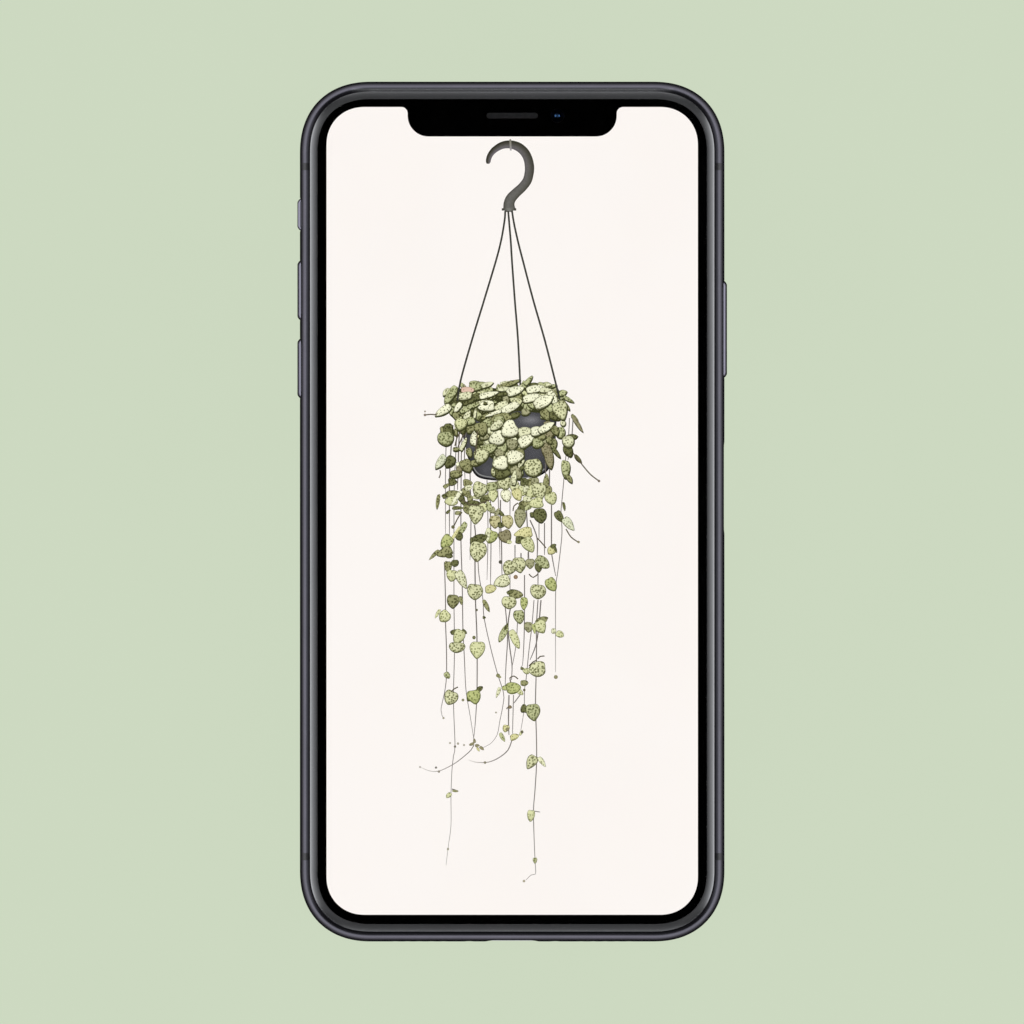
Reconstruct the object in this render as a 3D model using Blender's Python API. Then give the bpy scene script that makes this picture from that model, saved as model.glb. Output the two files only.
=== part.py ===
"""A slim touch-screen phone with a notched display, lying on its back.

X runs across the phone, Y towards its top edge and Z out of the screen. The origin is the middle of the
back. Every length in this file is in millimetres, and add_solid() turns them into Blender's metres.
A depth is measured inwards from the body's outline, which all the outer pieces share.
"""

import math

import bmesh
import bpy
from mathutils import Vector

MM = 0.001

# The body's outline and its thickness
BODY_WIDTH = 70.9
BODY_HEIGHT = 143.6
BODY_THICKNESS = 7.7
CORNER_REACH = 12.0
CORNER_POWER = 2.26
CORNER_STEPS = 12
FIT_GAP = 0.1

# The metal band, whose outside is half an ellipse between two lips
BAND_DEPTH = 1.62
BAND_HALF_HEIGHT = 3.27
BAND_STEPS = 12
BAND_WALL = 2.8
FRONT_LEDGE = 6.75
BACK_LEDGE = 0.95
ANTENNA_Y = 57.6
ANTENNA_WIDTH = 1.0

# The two glasses and the polished ring round the front one
RING_DEPTH = 1.72
RING_INNER = 2.95
RING_EDGE = 7.10
RING_TOP = 7.66
GLASS_DEPTH = 3.05
GLASS_BOTTOM = 6.85
BACK_FLAT = 2.97
BACK_EDGE = 0.60
BACK_TOP = 0.85

# The screen's opening in its black border, the notch and the two display layers
SCREEN_WIDTH = 62.1
SCREEN_HEIGHT = 135.1
SCREEN_SHIFT = 0.18
SCREEN_REACH = 7.2
NOTCH_WIDTH = 34.9
NOTCH_DEPTH = 5.1
NOTCH_CORNER = 4.0
NOTCH_FLARE = 1.15
SCREEN_OVERLAP = 0.4
BORDER_INSET = 0.15
BORDER_LEVELS = (6.70, 6.80)
DISPLAY_LEVELS = (5.70, 6.60)
PLATE_LEVELS = (5.50, 5.60)

# What looks out of the notch
SENSOR_Y = 66.1
EYE_X = 7.53
EYE_RADIUS = 1.2
EYE_LEVELS = (6.0, 6.78)
EARPIECE_LENGTH = 8.7
EARPIECE_HEIGHT = 1.1
EARPIECE_LEVELS = (6.80, 7.55)

# The keys, the lever and the card tray on the sides
KEY_HEIGHT = 3.0
KEY_PROUD = 0.42
KEY_ROUNDING = 0.25
FLANGE_WIDTH = 0.5
FLANGE_DEPTH = 0.5
SWITCH_CLEARANCE = 0.45
SWITCH_LENGTH = 4.0
SWITCH_LEVELS = (2.6, 5.1)
STRIP_DEPTHS = (5.2, 5.4)
STRIP_LEVELS = (2.2, 5.3)
VOLUME_UP_Y = 36.95
VOLUME_DOWN_Y = 23.9
VOLUME_LENGTH = 10.1
SIDE_Y = 30.45
SIDE_LENGTH = 16.3
MUTE_Y = 49.6
MUTE_LENGTH = 5.4
MUTE_HEIGHT = 1.9
MUTE_LIFT = 0.55
LEVER_FLANGE_WIDTH = 0.7
LEVER_FLANGE_DEPTH = 0.4
LEVER_CLEARANCE = 0.3

# The card tray in the right side, the card in its pocket and the reader round it
TRAY_Y = 4.0
TRAY_LENGTH = 15.2
TRAY_HEIGHT = 2.0
TRAY_SUNK = 0.12
HEAD_DEPTH = 2.4
CARRIER_REACH = 13.9
CARRIER_WIDTH = 13.6
CARRIER_HEIGHT = 1.0
POCKET_FLOOR = 0.25
CARD_LENGTH = 12.3
CARD_WIDTH = 8.8
CARD_THICKNESS = 0.6
CARD_DEPTH = 4.1
PIN_HOLE_OFFSET = -6.4
PIN_HOLE_SIZE = 0.8
READER_DEPTHS = (3.05, 15.25)
READER_WIDTH = 16.4
READER_LEVELS = (2.9, 4.9)
TUNNEL_GAP = 0.2
TUNNEL_REACH = 14.45

# The rear cameras behind their flush window
REAR_X = 22.5
REAR_Y = 52.2
WINDOW_WIDTH = 13.4
WINDOW_LENGTH = 29.0
WINDOW_SUNK = 0.05
LENS_PITCH = 15.6
LENS_RADIUS = 4.5
LENS_LEVELS = (0.12, 0.80)
BARREL_RADIUS = 4.2
BARREL_BOTTOM = 0.95
CAMERA_SIZE = 10.8
CAMERA_LEVELS = (1.9, 5.1)
FLASH_RADIUS = 2.1
FLASH_LEVELS = (0.10, 1.8)

# The bottom edge
PORT_WIDTH = 8.8
PORT_HEIGHT = 3.0
PORT_WALL = 0.3
PORT_DEPTHS = (0.15, 7.6)
SOCKET_DEPTH = 7.0
TONGUE_WIDTH = 6.4
TONGUE_HEIGHT = 0.7
TONGUE_DEPTHS = (1.6, 6.95)
SOUND_HOLE_COUNT = 5
SOUND_HOLE_PITCH = 2.0
SOUND_HOLE_RADIUS = 0.6
SOUND_HOLE_X = 15.5
SCREW_X = 7.2
SCREW_RADIUS = 0.75
SCREW_DEPTHS = (0.15, 4.6)
DRIVE_RADIUS = 0.4
DRIVE_DEPTH = 0.6

# The charging coil and the plate that stiffens the body
COIL_Y = -2.0
COIL_RADIUS = 21.0
COIL_HOLE = 11.0
COIL_LEVELS = (0.95, 1.20)
MIDDLE_PLATE_LEVELS = (1.30, 1.70)
WINDOW_ROOM = 0.5

# The outlines of the two pieces inside that aren't boxes
LOGIC_BOARD = (
    (9.4, -14.2),
    (29.6, -14.2),
    (29.6, 36.2),
    (15.2, 36.2),
    (15.2, 60.0),
    (-29.6, 60.0),
    (-29.6, 31.2),
    (9.4, 31.2),
)
BOARD_LEVELS = (1.8, 2.6)
LOUDSPEAKER = (
    (5.6, -46.5),
    (5.6, -65.5),
    (9.8, -65.5),
    (9.8, -68.7),
    (21.2, -68.7),
    (21.2, -65.5),
    (28.2, -65.5),
    (28.2, -46.5),
)
LOUDSPEAKER_LEVELS = (1.8, 5.2)

# The plain boxes inside: their ranges along X, Y and Z, their finish and how much their edges are rounded
CELL_LEVELS = (1.8, 5.2)
SHIELD_LEVELS = (2.7, 5.1)
SENSOR_ROW = (63.6, 68.6)
SENSOR_LEVELS = (4.5, 6.45)
INNER_BOXES = {
    "battery_upper": ((-29.6, 8.6), (-14.5, 30.5), CELL_LEVELS, "battery_wrap", 0.6),
    "battery_lower": ((-29.6, 29.6), (-45.5, -15.0), CELL_LEVELS, "battery_wrap", 0.6),
    "battery_connector": ((11.0, 18.0), (-12.5, -8.0), (2.7, 3.6), "black_plastic", 0.1),
    "shield_lower": ((10.2, 28.9), (14.0, 31.6), SHIELD_LEVELS, "steel", 0.25),
    "shield_upper": ((-28.6, 14.4), (32.0, 59.0), SHIELD_LEVELS, "steel", 0.25),
    "haptic_motor": ((-28.2, -6.6), (-62.5, -46.5), (1.8, 5.0), "steel", 0.4),
    "lower_microphone": ((-20.4, -10.6), (-68.7, -66.0), (2.6, 5.0), "black_plastic", 0.15),
    "dock_board": ((-5.4, 4.8), (-63.4, -46.5), BOARD_LEVELS, "board_green", 0.1),
    "sensor_bracket": ((-16.8, 16.8), (63.4, 68.8), (4.2, 4.4), "steel", 0.05),
    "earpiece_speaker": ((-5.2, 5.2), SENSOR_ROW, SENSOR_LEVELS, "black_plastic", 0.25),
    "front_camera": ((5.6, 9.46), SENSOR_ROW, (4.5, 5.9), "black_plastic", 0.15),
    "depth_camera": ((11.2, 15.2), SENSOR_ROW, SENSOR_LEVELS, "black_plastic", 0.25),
    "dot_projector": ((-15.2, -11.2), SENSOR_ROW, SENSOR_LEVELS, "black_plastic", 0.25),
    "light_sensor": ((-9.2, -6.6), SENSOR_ROW, SENSOR_LEVELS, "black_plastic", 0.25),
    "camera_bracket": ((16.3, 28.7), (38.7, 65.7), (5.2, 5.38), "steel", 0.05),
}

# Colour, roughness and metallic value of each finish
FINISHES = {
    "graphite_metal": ((0.16, 0.16, 0.18), 0.28, 1.0),
    "antenna_plastic": ((0.035, 0.035, 0.04), 0.45, 0.0),
    "polished_trim": ((0.42, 0.42, 0.42), 0.12, 1.0),
    "front_glass": ((0.9, 0.95, 1.0), 0.02, 0.0),
    "black_ink": ((0.004, 0.004, 0.004), 0.5, 0.0),
    "display": ((0.97, 0.93, 0.90), 0.4, 0.0),
    "back_glass": ((0.03, 0.03, 0.035), 0.08, 0.0),
    "dark_lens": ((0.01, 0.012, 0.02), 0.03, 0.0),
    "flash_diffuser": ((0.85, 0.8, 0.6), 0.3, 0.0),
    "steel": ((0.55, 0.55, 0.56), 0.35, 1.0),
    "copper": ((0.72, 0.4, 0.25), 0.4, 1.0),
    "battery_wrap": ((0.03, 0.03, 0.03), 0.6, 0.0),
    "board_green": ((0.02, 0.07, 0.05), 0.5, 0.0),
    "black_plastic": ((0.02, 0.02, 0.02), 0.5, 0.0),
    "card_white": ((0.8, 0.8, 0.78), 0.5, 0.0),
}

HALF_WIDTH = BODY_WIDTH / 2
HALF_HEIGHT = BODY_HEIGHT / 2
MIDDLE = BODY_THICKNESS / 2
INNER_DEPTH = BAND_WALL + FIT_GAP
THROUGH_BAND = (-2.0, BAND_WALL + 1.0)
THROUGH_BACK = (-1.0, 3.0)
THROUGH_FRONT = (6.0, BODY_THICKNESS + 1.0)


def finish(name):
    """The material of that name, made the first time it is asked for."""
    material = bpy.data.materials.get(name)
    if material is None:
        colour, roughness, metallic = FINISHES[name]
        material = bpy.data.materials.new(name)
        material.use_nodes = True
        shader = material.node_tree.nodes["Principled BSDF"]
        shader.inputs["Base Color"].default_value = (*colour, 1.0)
        shader.inputs["Roughness"].default_value = roughness
        shader.inputs["Metallic"].default_value = metallic
    return material


def add_solid(name, points, faces, material=None):
    """A closed object from points in millimetres, with its origin in the middle of its box."""
    low = Vector([min(point[axis] for point in points) for axis in range(3)])
    high = Vector([max(point[axis] for point in points) for axis in range(3)])
    middle = (low + high) / 2
    build = bmesh.new()
    verts = [build.verts.new((Vector(point) - middle) * MM) for point in points]
    for face in faces:
        build.faces.new([verts[index] for index in face])
    bmesh.ops.recalc_face_normals(build, faces=build.faces)
    mesh = bpy.data.meshes.new(name)
    build.to_mesh(mesh)
    build.free()
    mesh.shade_smooth()
    mesh.set_sharp_from_angle(angle=math.radians(35))
    if material:
        mesh.materials.append(finish(material))
    solid = bpy.data.objects.new(name, mesh)
    solid.location = middle * MM
    bpy.context.scene.collection.objects.link(solid)
    return solid


def loft(name, loops, material=None):
    """A solid through loops of equally many points, with its two ends closed."""
    count = len(loops[0])
    points = [point for loop in loops for point in loop]
    faces = [list(range(count)), list(range(len(points) - count, len(points)))]
    for level in range(len(loops) - 1):
        low = level * count
        high = low + count
        for i in range(count):
            j = (i + 1) % count
            faces.append([low + i, low + j, high + j, high + i])
    return add_solid(name, points, faces, material)


def sweep(name, stations, section, closed, material):
    """A section of (depth, z) corners carried along stations of the body's outline."""
    sides = len(section)
    count = len(stations)
    points = [
        (point.x - normal.x * depth, point.y - normal.y * depth, z)
        for point, normal in stations
        for depth, z in section
    ]
    faces = []
    for station in range(count if closed else count - 1):
        here = station * sides
        there = (station + 1) % count * sides
        for i in range(sides):
            j = (i + 1) % sides
            faces.append([here + i, here + j, there + j, there + i])
    if not closed:
        faces.append(list(range(sides)))
        faces.append(list(range((count - 1) * sides, count * sides)))
    return add_solid(name, points, faces, material)


def prism(name, outline, levels, material=None):
    """A plate between two heights, whose outline lies in XY."""
    return loft(name, [[(x, y, z) for x, y in outline] for z in levels], material)


def box(name, x, y, z, material=None, rounding=0.0):
    """A box between the pairs x, y and z, with its edges rounded."""
    outline = [(x[0], y[0]), (x[1], y[0]), (x[1], y[1]), (x[0], y[1])]
    solid = prism(name, outline, z, material)
    if rounding:
        bevel = solid.modifiers.new("Rounded edges", "BEVEL")
        bevel.width = rounding * MM
        bevel.segments = 2
    return solid


def combine(solid, helper, operation):
    """Applies a helper to the solid with a Boolean, and hides it."""
    helper.hide_render = True
    helper.display_type = "WIRE"
    step = solid.modifiers.new(helper.name, "BOOLEAN")
    step.object = helper
    step.operation = operation
    step.solver = "EXACT"


def cut(solid, cutter):
    combine(solid, cutter, "DIFFERENCE")


def join(solid, addition):
    combine(solid, addition, "UNION")


def arc(centre, radius, start, end, steps):
    """Points of an arc, its angles in degrees."""
    angles = [math.radians(start + (end - start) * i / steps) for i in range(steps + 1)]
    return [(centre[0] + radius * math.cos(a), centre[1] + radius * math.sin(a)) for a in angles]


def circle(x, y, radius, steps=24):
    return arc((x, y), radius, 0, 360, steps)[:-1]


def pill(length, height, grow=0.0, steps=8):
    """A slot's outline about the origin, its long side first."""
    radius = height / 2 + grow
    reach = (length - height) / 2
    return arc((reach, 0), radius, -90, 90, steps) + arc((-reach, 0), radius, 90, 270, steps)


def lever_slot(length, height, steps=6):
    """The outline that the lever sweeps as it slides, its corners as round as the lever's ends."""
    radius = MUTE_HEIGHT / 2 + FIT_GAP
    x = length / 2 - radius
    y = height / 2 - radius
    right = arc((x, -y), radius, -90, 0, steps) + arc((x, y), radius, 0, 90, steps)
    left = arc((-x, y), radius, 90, 180, steps) + arc((-x, -y), radius, 180, 270, steps)
    return right + left


def quarter_turned(vector, quarters):
    """A flat vector turned by a number of right angles."""
    for _ in range(quarters):
        vector = Vector((-vector.y, vector.x))
    return vector


def corner_outline(width, height, reach, steps=CORNER_STEPS):
    """(point, outward normal) round a rectangle with superellipse corners, from its upper right one on."""
    stations = []
    for quarter in range(4):
        across, up = (width, height) if quarter % 2 == 0 else (height, width)
        centre = Vector((across / 2 - reach, up / 2 - reach))
        for i in range(steps + 1):
            angle = math.pi / 2 * i / steps
            x = max(math.cos(angle), 0.0) ** (2 / CORNER_POWER)
            y = max(math.sin(angle), 0.0) ** (2 / CORNER_POWER)
            point = centre + Vector((x, y)) * reach
            normal = Vector((x ** (CORNER_POWER - 1), y ** (CORNER_POWER - 1))).normalized()
            stations.append((quarter_turned(point, quarter), quarter_turned(normal, quarter)))
    return stations


OUTLINE = corner_outline(BODY_WIDTH, BODY_HEIGHT, CORNER_REACH)


def body_loop(depth, z):
    """The body's outline taken in by a depth, at a height."""
    return [(point.x - normal.x * depth, point.y - normal.y * depth, z) for point, normal in OUTLINE]


def body_plate(name, profile, material):
    """A plate of the body's shape, through a profile of (depth, z) levels."""
    return loft(name, [body_loop(depth, z) for depth, z in profile], material)


def quarter_curve(outer, inner, edge, top, steps):
    """(depth, z) along a quarter ellipse, from its upright edge to its flat top."""
    angles = [math.pi / 2 * i / steps for i in range(steps + 1)]
    return [(inner - (inner - outer) * math.cos(a), edge + (top - edge) * math.sin(a)) for a in angles]


def screen_outline(grow=0.0, steps=8):
    """The screen's edge with its notch, grown outwards by a margin."""
    corners = corner_outline(SCREEN_WIDTH, SCREEN_HEIGHT, SCREEN_REACH, steps)
    points = [
        (point.x + normal.x * grow, point.y + normal.y * grow + SCREEN_SHIFT)
        for point, normal in corners
    ]
    top = SCREEN_HEIGHT / 2 + SCREEN_SHIFT
    half = NOTCH_WIDTH / 2
    flare = arc((half + NOTCH_FLARE, top - NOTCH_FLARE), NOTCH_FLARE + grow, 90, 180, steps // 2)
    bend_centre = (half - NOTCH_CORNER, top - NOTCH_DEPTH + NOTCH_CORNER)
    right_side = flare + arc(bend_centre, NOTCH_CORNER - grow, 0, -90, steps)
    left_side = [(-x, y) for x, y in reversed(right_side)]
    return points[: steps + 1] + right_side + left_side + points[steps + 1 :]


def band_section():
    """The band's cross-section as (depth, z), from its front lip round the outside and back."""
    angles = [math.radians(90 - 180 * i / BAND_STEPS) for i in range(BAND_STEPS + 1)]
    outside = [
        (BAND_DEPTH * (1 - math.cos(a)), MIDDLE + BAND_HALF_HEIGHT * math.sin(a)) for a in angles
    ]
    inside = [
        (BAND_DEPTH, BACK_LEDGE),
        (BAND_WALL, BACK_LEDGE),
        (BAND_WALL, FRONT_LEDGE),
        (BAND_DEPTH, FRONT_LEDGE),
    ]
    return outside + inside


def build_band():
    """The metal band in four lengths, with a plastic antenna break between each two."""
    section = band_section()
    half_break = ANTENNA_WIDTH / 2
    side_end = ANTENNA_Y - half_break - FIT_GAP
    cap_end = ANTENNA_Y + half_break + FIT_GAP
    right = Vector((1, 0))
    top_run = [
        (Vector((HALF_WIDTH, cap_end)), right),
        *OUTLINE[: len(OUTLINE) // 2],
        (Vector((-HALF_WIDTH, cap_end)), -right),
    ]
    bottom_run = [(-point, -normal) for point, normal in top_run]
    bands = {}
    for name, run in (("band_top", top_run), ("band_bottom", bottom_run)):
        bands[name] = sweep(name, run, section, False, "graphite_metal")
    for side, normal in (("left", -right), ("right", right)):
        x = normal.x * HALF_WIDTH
        name = "band_" + side
        straight = [(Vector((x, y)), normal) for y in (-side_end, side_end)]
        bands[name] = sweep(name, straight, section, False, "graphite_metal")
        for end, y in (("upper", ANTENNA_Y), ("lower", -ANTENNA_Y)):
            filled = [(Vector((x, y + step)), normal) for step in (-half_break, half_break)]
            sweep(f"antenna_break_{side}_{end}", filled, section, False, "antenna_plastic")
    return bands


def earpiece_slot(grow=0.0):
    """The earpiece's slot in the notch."""
    return [(x, y + SENSOR_Y) for x, y in pill(EARPIECE_LENGTH, EARPIECE_HEIGHT, grow)]


def build_front():
    """The front glass in its polished ring, with the earpiece's mesh in its slot."""
    curve = quarter_curve(RING_DEPTH, RING_INNER, RING_EDGE, RING_TOP, 8)
    section = [(RING_DEPTH, GLASS_BOTTOM), *curve, (RING_INNER, GLASS_BOTTOM)]
    sweep("screen_ring", OUTLINE, section, True, "polished_trim")
    profile = [
        (GLASS_DEPTH, GLASS_BOTTOM),
        (GLASS_DEPTH, BODY_THICKNESS - FIT_GAP),
        (GLASS_DEPTH + FIT_GAP, BODY_THICKNESS),
    ]
    glass = body_plate("front_glass", profile, "front_glass")
    cut(glass, prism("cutter_glass_slot", earpiece_slot(), THROUGH_FRONT))
    prism("earpiece_mesh", earpiece_slot(-FIT_GAP), EARPIECE_LEVELS, "black_plastic")


def build_back():
    """The back glass, curved at its rim, with the cameras' opening."""
    curve = quarter_curve(RING_DEPTH, BACK_FLAT, BACK_EDGE, 0, 6)
    glass = body_plate("back_glass", [(RING_DEPTH, BACK_TOP), *curve], "back_glass")
    cut(glass, prism("cutter_window", rear_pill(FIT_GAP), THROUGH_BACK))


def build_screen():
    """The printed border, the display under it and the display's back plate."""
    inset = GLASS_DEPTH + BORDER_INSET
    border = body_plate("screen_border", [(inset, z) for z in BORDER_LEVELS], "black_ink")
    cut(border, prism("cutter_screen", screen_outline(), THROUGH_FRONT))
    cut(border, prism("cutter_eye", circle(EYE_X, SENSOR_Y, EYE_RADIUS), THROUGH_FRONT))
    cut(border, prism("cutter_border_slot", earpiece_slot(), THROUGH_FRONT))
    lit = screen_outline(SCREEN_OVERLAP)
    prism("display_panel", lit, DISPLAY_LEVELS, "display")
    prism("display_plate", lit, PLATE_LEVELS, "copper")
    eye = circle(EYE_X, SENSOR_Y, EYE_RADIUS - FIT_GAP)
    prism("front_camera_lens", eye, EYE_LEVELS, "dark_lens")


def side_stack(name, side, y, levels, material=None, shape=pill):
    """A piece that runs in through the band at a side, as (depth, length, height, z) levels."""
    loops = []
    for depth, length, height, z in levels:
        x = side * (HALF_WIDTH - depth)
        loops.append([(x, y + along, z + up) for along, up in shape(length, height)])
    return loft(name, loops, material)


def side_slot(name, side, y, length, height, shape=pill):
    """A cutter right through the band at a side, larger than what slides in it by the fit gap."""
    grow = 2 * FIT_GAP
    levels = [(depth, length + grow, height + grow, MIDDLE) for depth in THROUGH_BAND]
    return side_stack(name, side, y, levels, shape=shape)


def side_box(name, side, y, width, depths, levels, material=None, rounding=0.0):
    """A box inside a side, between two depths."""
    x = sorted(side * (HALF_WIDTH - depth) for depth in depths)
    return box(name, x, (y - width / 2, y + width / 2), levels, material, rounding)


def capped(length, height, z, widen, deepen):
    """The levels of a cap with rounded edges outside the band and a flange inside it."""
    soft = 2 * KEY_ROUNDING
    return [
        (-KEY_PROUD, length - soft, height - soft, z),
        (-KEY_PROUD + 0.3 * KEY_ROUNDING, length - 0.3 * soft, height - 0.3 * soft, z),
        (-KEY_PROUD + KEY_ROUNDING, length, height, z),
        (INNER_DEPTH, length, height, z),
        (INNER_DEPTH, length + 2 * widen, height + widen, z),
        (INNER_DEPTH + deepen, length + 2 * widen, height + widen, z),
    ]


def build_keys(bands):
    """The three press keys with their switches, and the strips that carry the switches."""
    keys = (
        ("volume_up_key", "band_left", -1, VOLUME_UP_Y, VOLUME_LENGTH),
        ("volume_down_key", "band_left", -1, VOLUME_DOWN_Y, VOLUME_LENGTH),
        ("side_key", "band_right", 1, SIDE_Y, SIDE_LENGTH),
    )
    depths = (INNER_DEPTH + FLANGE_DEPTH + SWITCH_CLEARANCE, STRIP_DEPTHS[0] - FIT_GAP)
    for name, band, side, y, length in keys:
        levels = capped(length, KEY_HEIGHT, MIDDLE, FLANGE_WIDTH, FLANGE_DEPTH)
        side_stack(name, side, y, levels, "graphite_metal")
        cut(bands[band], side_slot("cutter_" + name, side, y, length, KEY_HEIGHT))
        switch = name + "_switch"
        side_box(switch, side, y, SWITCH_LENGTH, depths, SWITCH_LEVELS, "black_plastic", 0.15)
    left_ends = (VOLUME_DOWN_Y - VOLUME_LENGTH / 2, MUTE_Y + MUTE_LENGTH / 2)
    left_middle = sum(left_ends) / 2
    left_width = left_ends[1] - left_ends[0]
    side_box("key_strip_left", -1, left_middle, left_width, STRIP_DEPTHS, STRIP_LEVELS, "copper")
    side_box("key_strip_right", 1, SIDE_Y, SIDE_LENGTH, STRIP_DEPTHS, STRIP_LEVELS, "copper")


def build_lever(band):
    """The sliding lever on the left side, at the front end of its slot, and its contact."""
    z = MIDDLE + MUTE_LIFT
    levels = capped(MUTE_LENGTH, MUTE_HEIGHT, z, LEVER_FLANGE_WIDTH, LEVER_FLANGE_DEPTH)
    side_stack("mute_switch", -1, MUTE_Y, levels, "graphite_metal")
    swept_height = MUTE_HEIGHT + 2 * MUTE_LIFT
    cut(band, side_slot("cutter_lever", -1, MUTE_Y, MUTE_LENGTH, swept_height, lever_slot))
    depths = (INNER_DEPTH + LEVER_FLANGE_DEPTH + LEVER_CLEARANCE, STRIP_DEPTHS[0] - FIT_GAP)
    contact = "mute_switch_contact"
    side_box(contact, -1, MUTE_Y, SWITCH_LENGTH, depths, SWITCH_LEVELS, "black_plastic", 0.15)


def build_card_tray(band):
    """The card tray, flush in the right side, with its card and the reader that it slides into."""
    head = [
        (TRAY_SUNK, TRAY_LENGTH - 0.1, TRAY_HEIGHT - 0.1, MIDDLE),
        (TRAY_SUNK + 0.05, TRAY_LENGTH, TRAY_HEIGHT, MIDDLE),
        (HEAD_DEPTH, TRAY_LENGTH, TRAY_HEIGHT, MIDDLE),
    ]
    tray = side_stack("sim_tray", 1, TRAY_Y, head, "graphite_metal")
    low = MIDDLE - CARRIER_HEIGHT / 2
    high = MIDDLE + CARRIER_HEIGHT / 2
    depths = (HEAD_DEPTH - 0.5, CARRIER_REACH)
    join(tray, side_box("joined_carrier", 1, TRAY_Y, CARRIER_WIDTH, depths, (low, high)))
    floor = low + POCKET_FLOOR
    pocket_depths = (CARD_DEPTH - FIT_GAP, CARD_DEPTH + CARD_WIDTH + FIT_GAP)
    pocket_width = CARD_LENGTH + 2 * FIT_GAP
    cut(tray, side_box("cutter_pocket", 1, TRAY_Y, pocket_width, pocket_depths, (floor, high + 1)))
    pin_hole = [(depth, PIN_HOLE_SIZE + 0.1, PIN_HOLE_SIZE, MIDDLE) for depth in (-1, 1.6)]
    cut(tray, side_stack("cutter_pin_hole", 1, TRAY_Y + PIN_HOLE_OFFSET, pin_hole))
    card_depths = (CARD_DEPTH, CARD_DEPTH + CARD_WIDTH)
    card_levels = (floor + FIT_GAP / 2, floor + FIT_GAP / 2 + CARD_THICKNESS)
    side_box("sim_card", 1, TRAY_Y, CARD_LENGTH, card_depths, card_levels, "card_white")
    cut(band, side_slot("cutter_tray", 1, TRAY_Y, TRAY_LENGTH, TRAY_HEIGHT))
    reader = side_box("sim_reader", 1, TRAY_Y, READER_WIDTH, READER_DEPTHS, READER_LEVELS, "steel", 0.1)
    tunnel_width = CARRIER_WIDTH + 2 * TUNNEL_GAP
    tunnel_levels = (low - TUNNEL_GAP, high + TUNNEL_GAP)
    cut(reader, side_box("cutter_tunnel", 1, TRAY_Y, tunnel_width, (0, TUNNEL_REACH), tunnel_levels))


def rear_pill(grow=0.0):
    """The camera window's outline, upright on the back."""
    return [(REAR_X - y, REAR_Y + x) for x, y in pill(WINDOW_LENGTH, WINDOW_WIDTH, grow, 12)]


def build_rear_cameras():
    """Two camera modules behind a flush window, with the flash between them."""
    window = prism("rear_window", rear_pill(), (WINDOW_SUNK, BACK_TOP), "dark_lens")
    half = CAMERA_SIZE / 2
    across = (REAR_X - half, REAR_X + half)
    for place, y in (("upper", REAR_Y + LENS_PITCH / 2), ("lower", REAR_Y - LENS_PITCH / 2)):
        opening = circle(REAR_X, y, LENS_RADIUS + FIT_GAP)
        cut(window, prism("cutter_lens_" + place, opening, THROUGH_BACK))
        prism("rear_lens_" + place, circle(REAR_X, y, LENS_RADIUS), LENS_LEVELS, "dark_lens")
        along = (y - half, y + half)
        camera = box("rear_camera_" + place, across, along, CAMERA_LEVELS, "black_plastic", 0.2)
        barrel_levels = (BARREL_BOTTOM, CAMERA_LEVELS[0] + 1)
        barrel = prism("joined_barrel_" + place, circle(REAR_X, y, BARREL_RADIUS), barrel_levels)
        join(camera, barrel)
    opening = circle(REAR_X, REAR_Y, FLASH_RADIUS + FIT_GAP)
    cut(window, prism("cutter_flash", opening, THROUGH_BACK))
    prism("flash_lens", circle(REAR_X, REAR_Y, FLASH_RADIUS), FLASH_LEVELS, "flash_diffuser")


def build_inside():
    """The middle plate, the charging coil, the boards and every plain box."""
    plate = body_plate("middle_plate", [(INNER_DEPTH, z) for z in MIDDLE_PLATE_LEVELS], "steel")
    cut(plate, prism("cutter_plate_window", rear_pill(WINDOW_ROOM), THROUGH_BACK))
    coil = prism("charging_coil", circle(0, COIL_Y, COIL_RADIUS, 40), COIL_LEVELS, "copper")
    cut(coil, prism("cutter_coil", circle(0, COIL_Y, COIL_HOLE, 32), THROUGH_BACK))
    prism("logic_board", LOGIC_BOARD, BOARD_LEVELS, "board_green")
    prism("loudspeaker", LOUDSPEAKER, LOUDSPEAKER_LEVELS, "black_plastic")
    for name, (x, y, z, material, rounding) in INNER_BOXES.items():
        box(name, x, y, z, material, rounding)


def edge_bore(name, outline, x, depths, material=None):
    """An outline carried along Y at the bottom edge, between two depths."""
    loops = [[(x + u, depth - HALF_HEIGHT, MIDDLE + v) for u, v in outline] for depth in depths]
    return loft(name, loops, material)


def build_port(band):
    """The charging port: a shell in the bottom edge with a tongue that carries its contacts."""
    cut(band, edge_bore("cutter_port", pill(PORT_WIDTH, PORT_HEIGHT, FIT_GAP), 0, THROUGH_BAND))
    shell = edge_bore("port_shell", pill(PORT_WIDTH, PORT_HEIGHT), 0, PORT_DEPTHS, "steel")
    socket = pill(PORT_WIDTH, PORT_HEIGHT, -PORT_WALL)
    cut(shell, edge_bore("cutter_socket", socket, 0, (-1, SOCKET_DEPTH)))
    across = (-TONGUE_WIDTH / 2, TONGUE_WIDTH / 2)
    along = [depth - HALF_HEIGHT for depth in TONGUE_DEPTHS]
    upright = (MIDDLE - TONGUE_HEIGHT / 2, MIDDLE + TONGUE_HEIGHT / 2)
    box("port_tongue", across, along, upright, "black_plastic", 0.1)


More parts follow.
